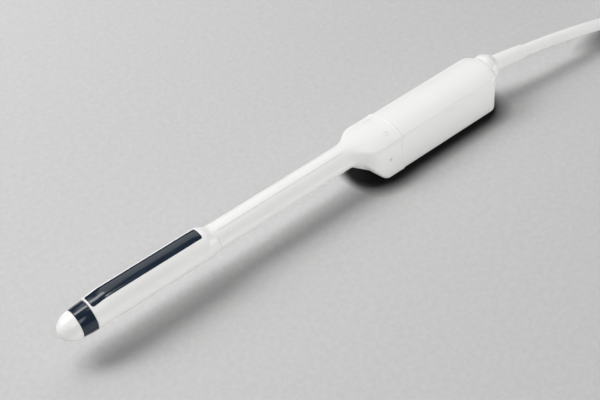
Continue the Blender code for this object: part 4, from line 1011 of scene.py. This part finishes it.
def ramp(value, first, last):
    """A soft step from 0 to 1 between two values."""
    share = min(max((value - first) / (last - first), 0.0), 1.0)
    return share * share * (3.0 - 2.0 * share)


def hank_point(turn):
    """A point of the hank. Each turn has a run, a fold, a run back and a second fold.

    The strand moves between its outer and inner lane on three of the runs, and climbs to the
    next layer on two of the folds, where the neighbouring lane is free.
    """
    lane = sum(inward * ramp(turn, start, start + HANK_CHANGE) for start, inward in HANK_LANES)
    layer = sum(ramp(turn, start, start + HANK_CHANGE) for start in HANK_CLIMBS)
    radius = mix(HANK_OUTER_FOLD, HANK_INNER_FOLD, lane)
    height = HANK_BOTTOM + CABLE_RADIUS + CABLE_PITCH * layer
    quarter = (turn % 1.0) * 4.0
    end = HANK_START_X + HANK_RUN
    if quarter < 1.0:
        return HANK_START_X + HANK_RUN * quarter, HANK_AXIS_Y + radius, height
    if quarter < 2.0:
        angle = pi / 2.0 - pi * (quarter - 1.0)
        return end + radius * cos(angle), HANK_AXIS_Y + radius * sin(angle), height
    if quarter < 3.0:
        return end - HANK_RUN * (quarter - 2.0), HANK_AXIS_Y - radius, height
    angle = -pi / 2.0 - pi * (quarter - 3.0)
    return HANK_START_X + radius * cos(angle), HANK_AXIS_Y + radius * sin(angle), height


def cable_route():
    """All points of the cable's middle line, from the boot through the hank to the connector."""
    turns = spread(0.0, HANK_TURNS, HANK_TURNS * 4 * HANK_STEPS)
    turns += spread(HANK_TURNS, HANK_TURNS + TAIL_SHARE / 4.0, HANK_STEPS // 2)[1:]
    hank = [Vector(hank_point(turn)) for turn in turns]
    lead = smooth_route((*LEAD_ROUTE, *hank[:2]), ROUTE_STEPS)
    tail = smooth_route((*hank[-2:], *TAIL_ROUTE), ROUTE_STEPS)
    return lead + hank[2:-2] + tail


def make_cable():
    """The whole cable as one tube, from the boot through the hank to the connector."""
    route = cable_route()
    data = bpy.data.curves.new("cable", "CURVE")
    data.dimensions = "3D"
    data.bevel_depth = CABLE_RADIUS
    data.bevel_resolution = CABLE_RESOLUTION
    data.use_fill_caps = True
    spline = data.splines.new("POLY")
    spline.points.add(len(route) - 1)
    for index, point in enumerate(route):
        spline.points[index].co = (*point, 1.0)
    spline.use_smooth = True
    data.materials.append(LOOKS["cable_white"])
    cable = bpy.data.objects.new("cable", data)
    bpy.context.scene.collection.objects.link(cable)
    place_piece(cable, "cable_white", "cable_lead", "cable_hank", "cable_tail")


# Floor, lamps and camera

def make_floor():
    """A pale floor, slightly mottled, with a near-black contact shadow painted into its colour
    where something lies close above it.
    """
    shape = bmesh.new()
    bmesh.ops.create_grid(shape, x_segments=1, y_segments=1, size=FLOOR_HALF_SIZE)
    look, tree, shader = new_material("floor")
    cloudy = ranged(tree, noise(tree, 280.0, detail=6.0, rough=0.8), 0.0, 1.0)
    pale = blended(tree, cloudy, (0.525, 0.525, 0.525), (0.605, 0.605, 0.603))
    # Painted contact shadow: ambient occlusion turns the floor's colour near black close under a
    # piece
    shadow_probe = add_node(tree, "ShaderNodeAmbientOcclusion", Distance=PAINTED_SHADOW_REACH)
    unshadowed_share = ranged(tree, shadow_probe.outputs["AO"], 0.0, 1.0, *PAINTED_SHADOW_OPENNESS)
    base = blended(tree, unshadowed_share, (0.01, 0.01, 0.01), pale)
    tree.links.new(base, shader.inputs["Base Color"])
    shader.inputs["Roughness"].default_value = 0.9
    shader.inputs["Specular IOR Level"].default_value = 0.15
    data = bpy.data.meshes.new("floor")
    shape.to_mesh(data)
    shape.free()
    data.materials.append(look)
    floor = bpy.data.objects.new("floor", data)
    bpy.context.scene.collection.objects.link(floor)


def add_lamp(name, place, size, power, mirrored=True):
    """A soft box or strip aimed at the probe. One that isn't mirrored leaves no highlight."""
    data = bpy.data.lights.new(name, "AREA")
    data.shape = "RECTANGLE"
    data.size, data.size_y = size
    data.energy = power
    lamp = bpy.data.objects.new(name, data)
    lamp.location = place
    aim = Vector(AIM_POINT) - Vector(place)
    lamp.rotation_euler = aim.to_track_quat("-Z", "Y").to_euler()
    lamp.visible_glossy = mirrored
    bpy.context.scene.collection.objects.link(lamp)


def make_light():
    """Soft boxes behind and beside the probe, strips and a weak box in front, and a small spark.

    The world adds a little light from all round, and the camera sees it as a pale backdrop.
    """
    add_lamp("high_box", (-0.15, 0.63, 1.58), (0.80, 0.50), 7.8)
    add_lamp("left_box", (-0.68, 0.83, 1.28), (0.68, 0.60), 12.4)
    add_lamp("low_left_box", (-1.15, 1.05, 0.95), (0.90, 0.70), 7.0)
    add_lamp("right_box", (0.85, 1.05, 1.15), (1.90, 1.40), 9.0)
    add_lamp("front_strip", (-0.30, -1.30, 0.10), (1.60, 0.16), 7.5, mirrored=False)
    add_lamp("side_strip", (1.30, -0.85, 0.14), (1.20, 0.20), 7.0)
    add_lamp("front_box", (-0.50, -1.10, 1.25), (0.90, 0.70), 5.0)
    add_lamp("spark", (0.18, -0.09, 1.50), (0.16, 0.03), 0.6)
    world = bpy.data.worlds.new("studio")
    world.use_nodes = True
    tree = world.node_tree
    tree.nodes["Background"].inputs["Color"].default_value = (1.0, 1.0, 1.0, 1.0)
    seen = tree.nodes.new("ShaderNodeLightPath").outputs["Is Camera Ray"]
    strength = ranged(tree, seen, WORLD_STRENGTH, BACKDROP_STRENGTH, 0.0, 1.0)
    tree.links.new(strength, tree.nodes["Background"].inputs["Strength"])
    bpy.context.scene.world = world


def make_camera():
    """The camera of the photograph, from its angles. It looks along -back."""
    back = Vector((
        sin(CAMERA_AZIMUTH) * cos(CAMERA_ELEVATION), -cos(CAMERA_AZIMUTH) * cos(CAMERA_ELEVATION),
        sin(CAMERA_ELEVATION),
    ))
    level = Vector((cos(CAMERA_AZIMUTH), sin(CAMERA_AZIMUTH), 0.0))
    upward = back.cross(level)
    right = level * cos(CAMERA_ROLL) + upward * sin(CAMERA_ROLL)
    up = upward * cos(CAMERA_ROLL) - level * sin(CAMERA_ROLL)
    data = bpy.data.cameras.new("camera")
    data.lens = CAMERA_LENS
    data.sensor_width = SENSOR_WIDTH
    data.clip_start = NEAREST_SEEN
    camera = bpy.data.objects.new("camera", data)
    turn = Matrix((right, up, back)).transposed().to_4x4()
    camera.matrix_world = Matrix.Translation(CAMERA_PLACE) @ turn
    bpy.context.scene.collection.objects.link(camera)
    bpy.context.scene.camera = camera


make_camera()
make_cable()
dress_nodes()
make_nose()
make_band()
make_head()
make_housing()
make_plugs()
make_sleeve()
make_gland()
make_floor()
make_light()
bpy.context.scene.view_settings.view_transform = "Standard"
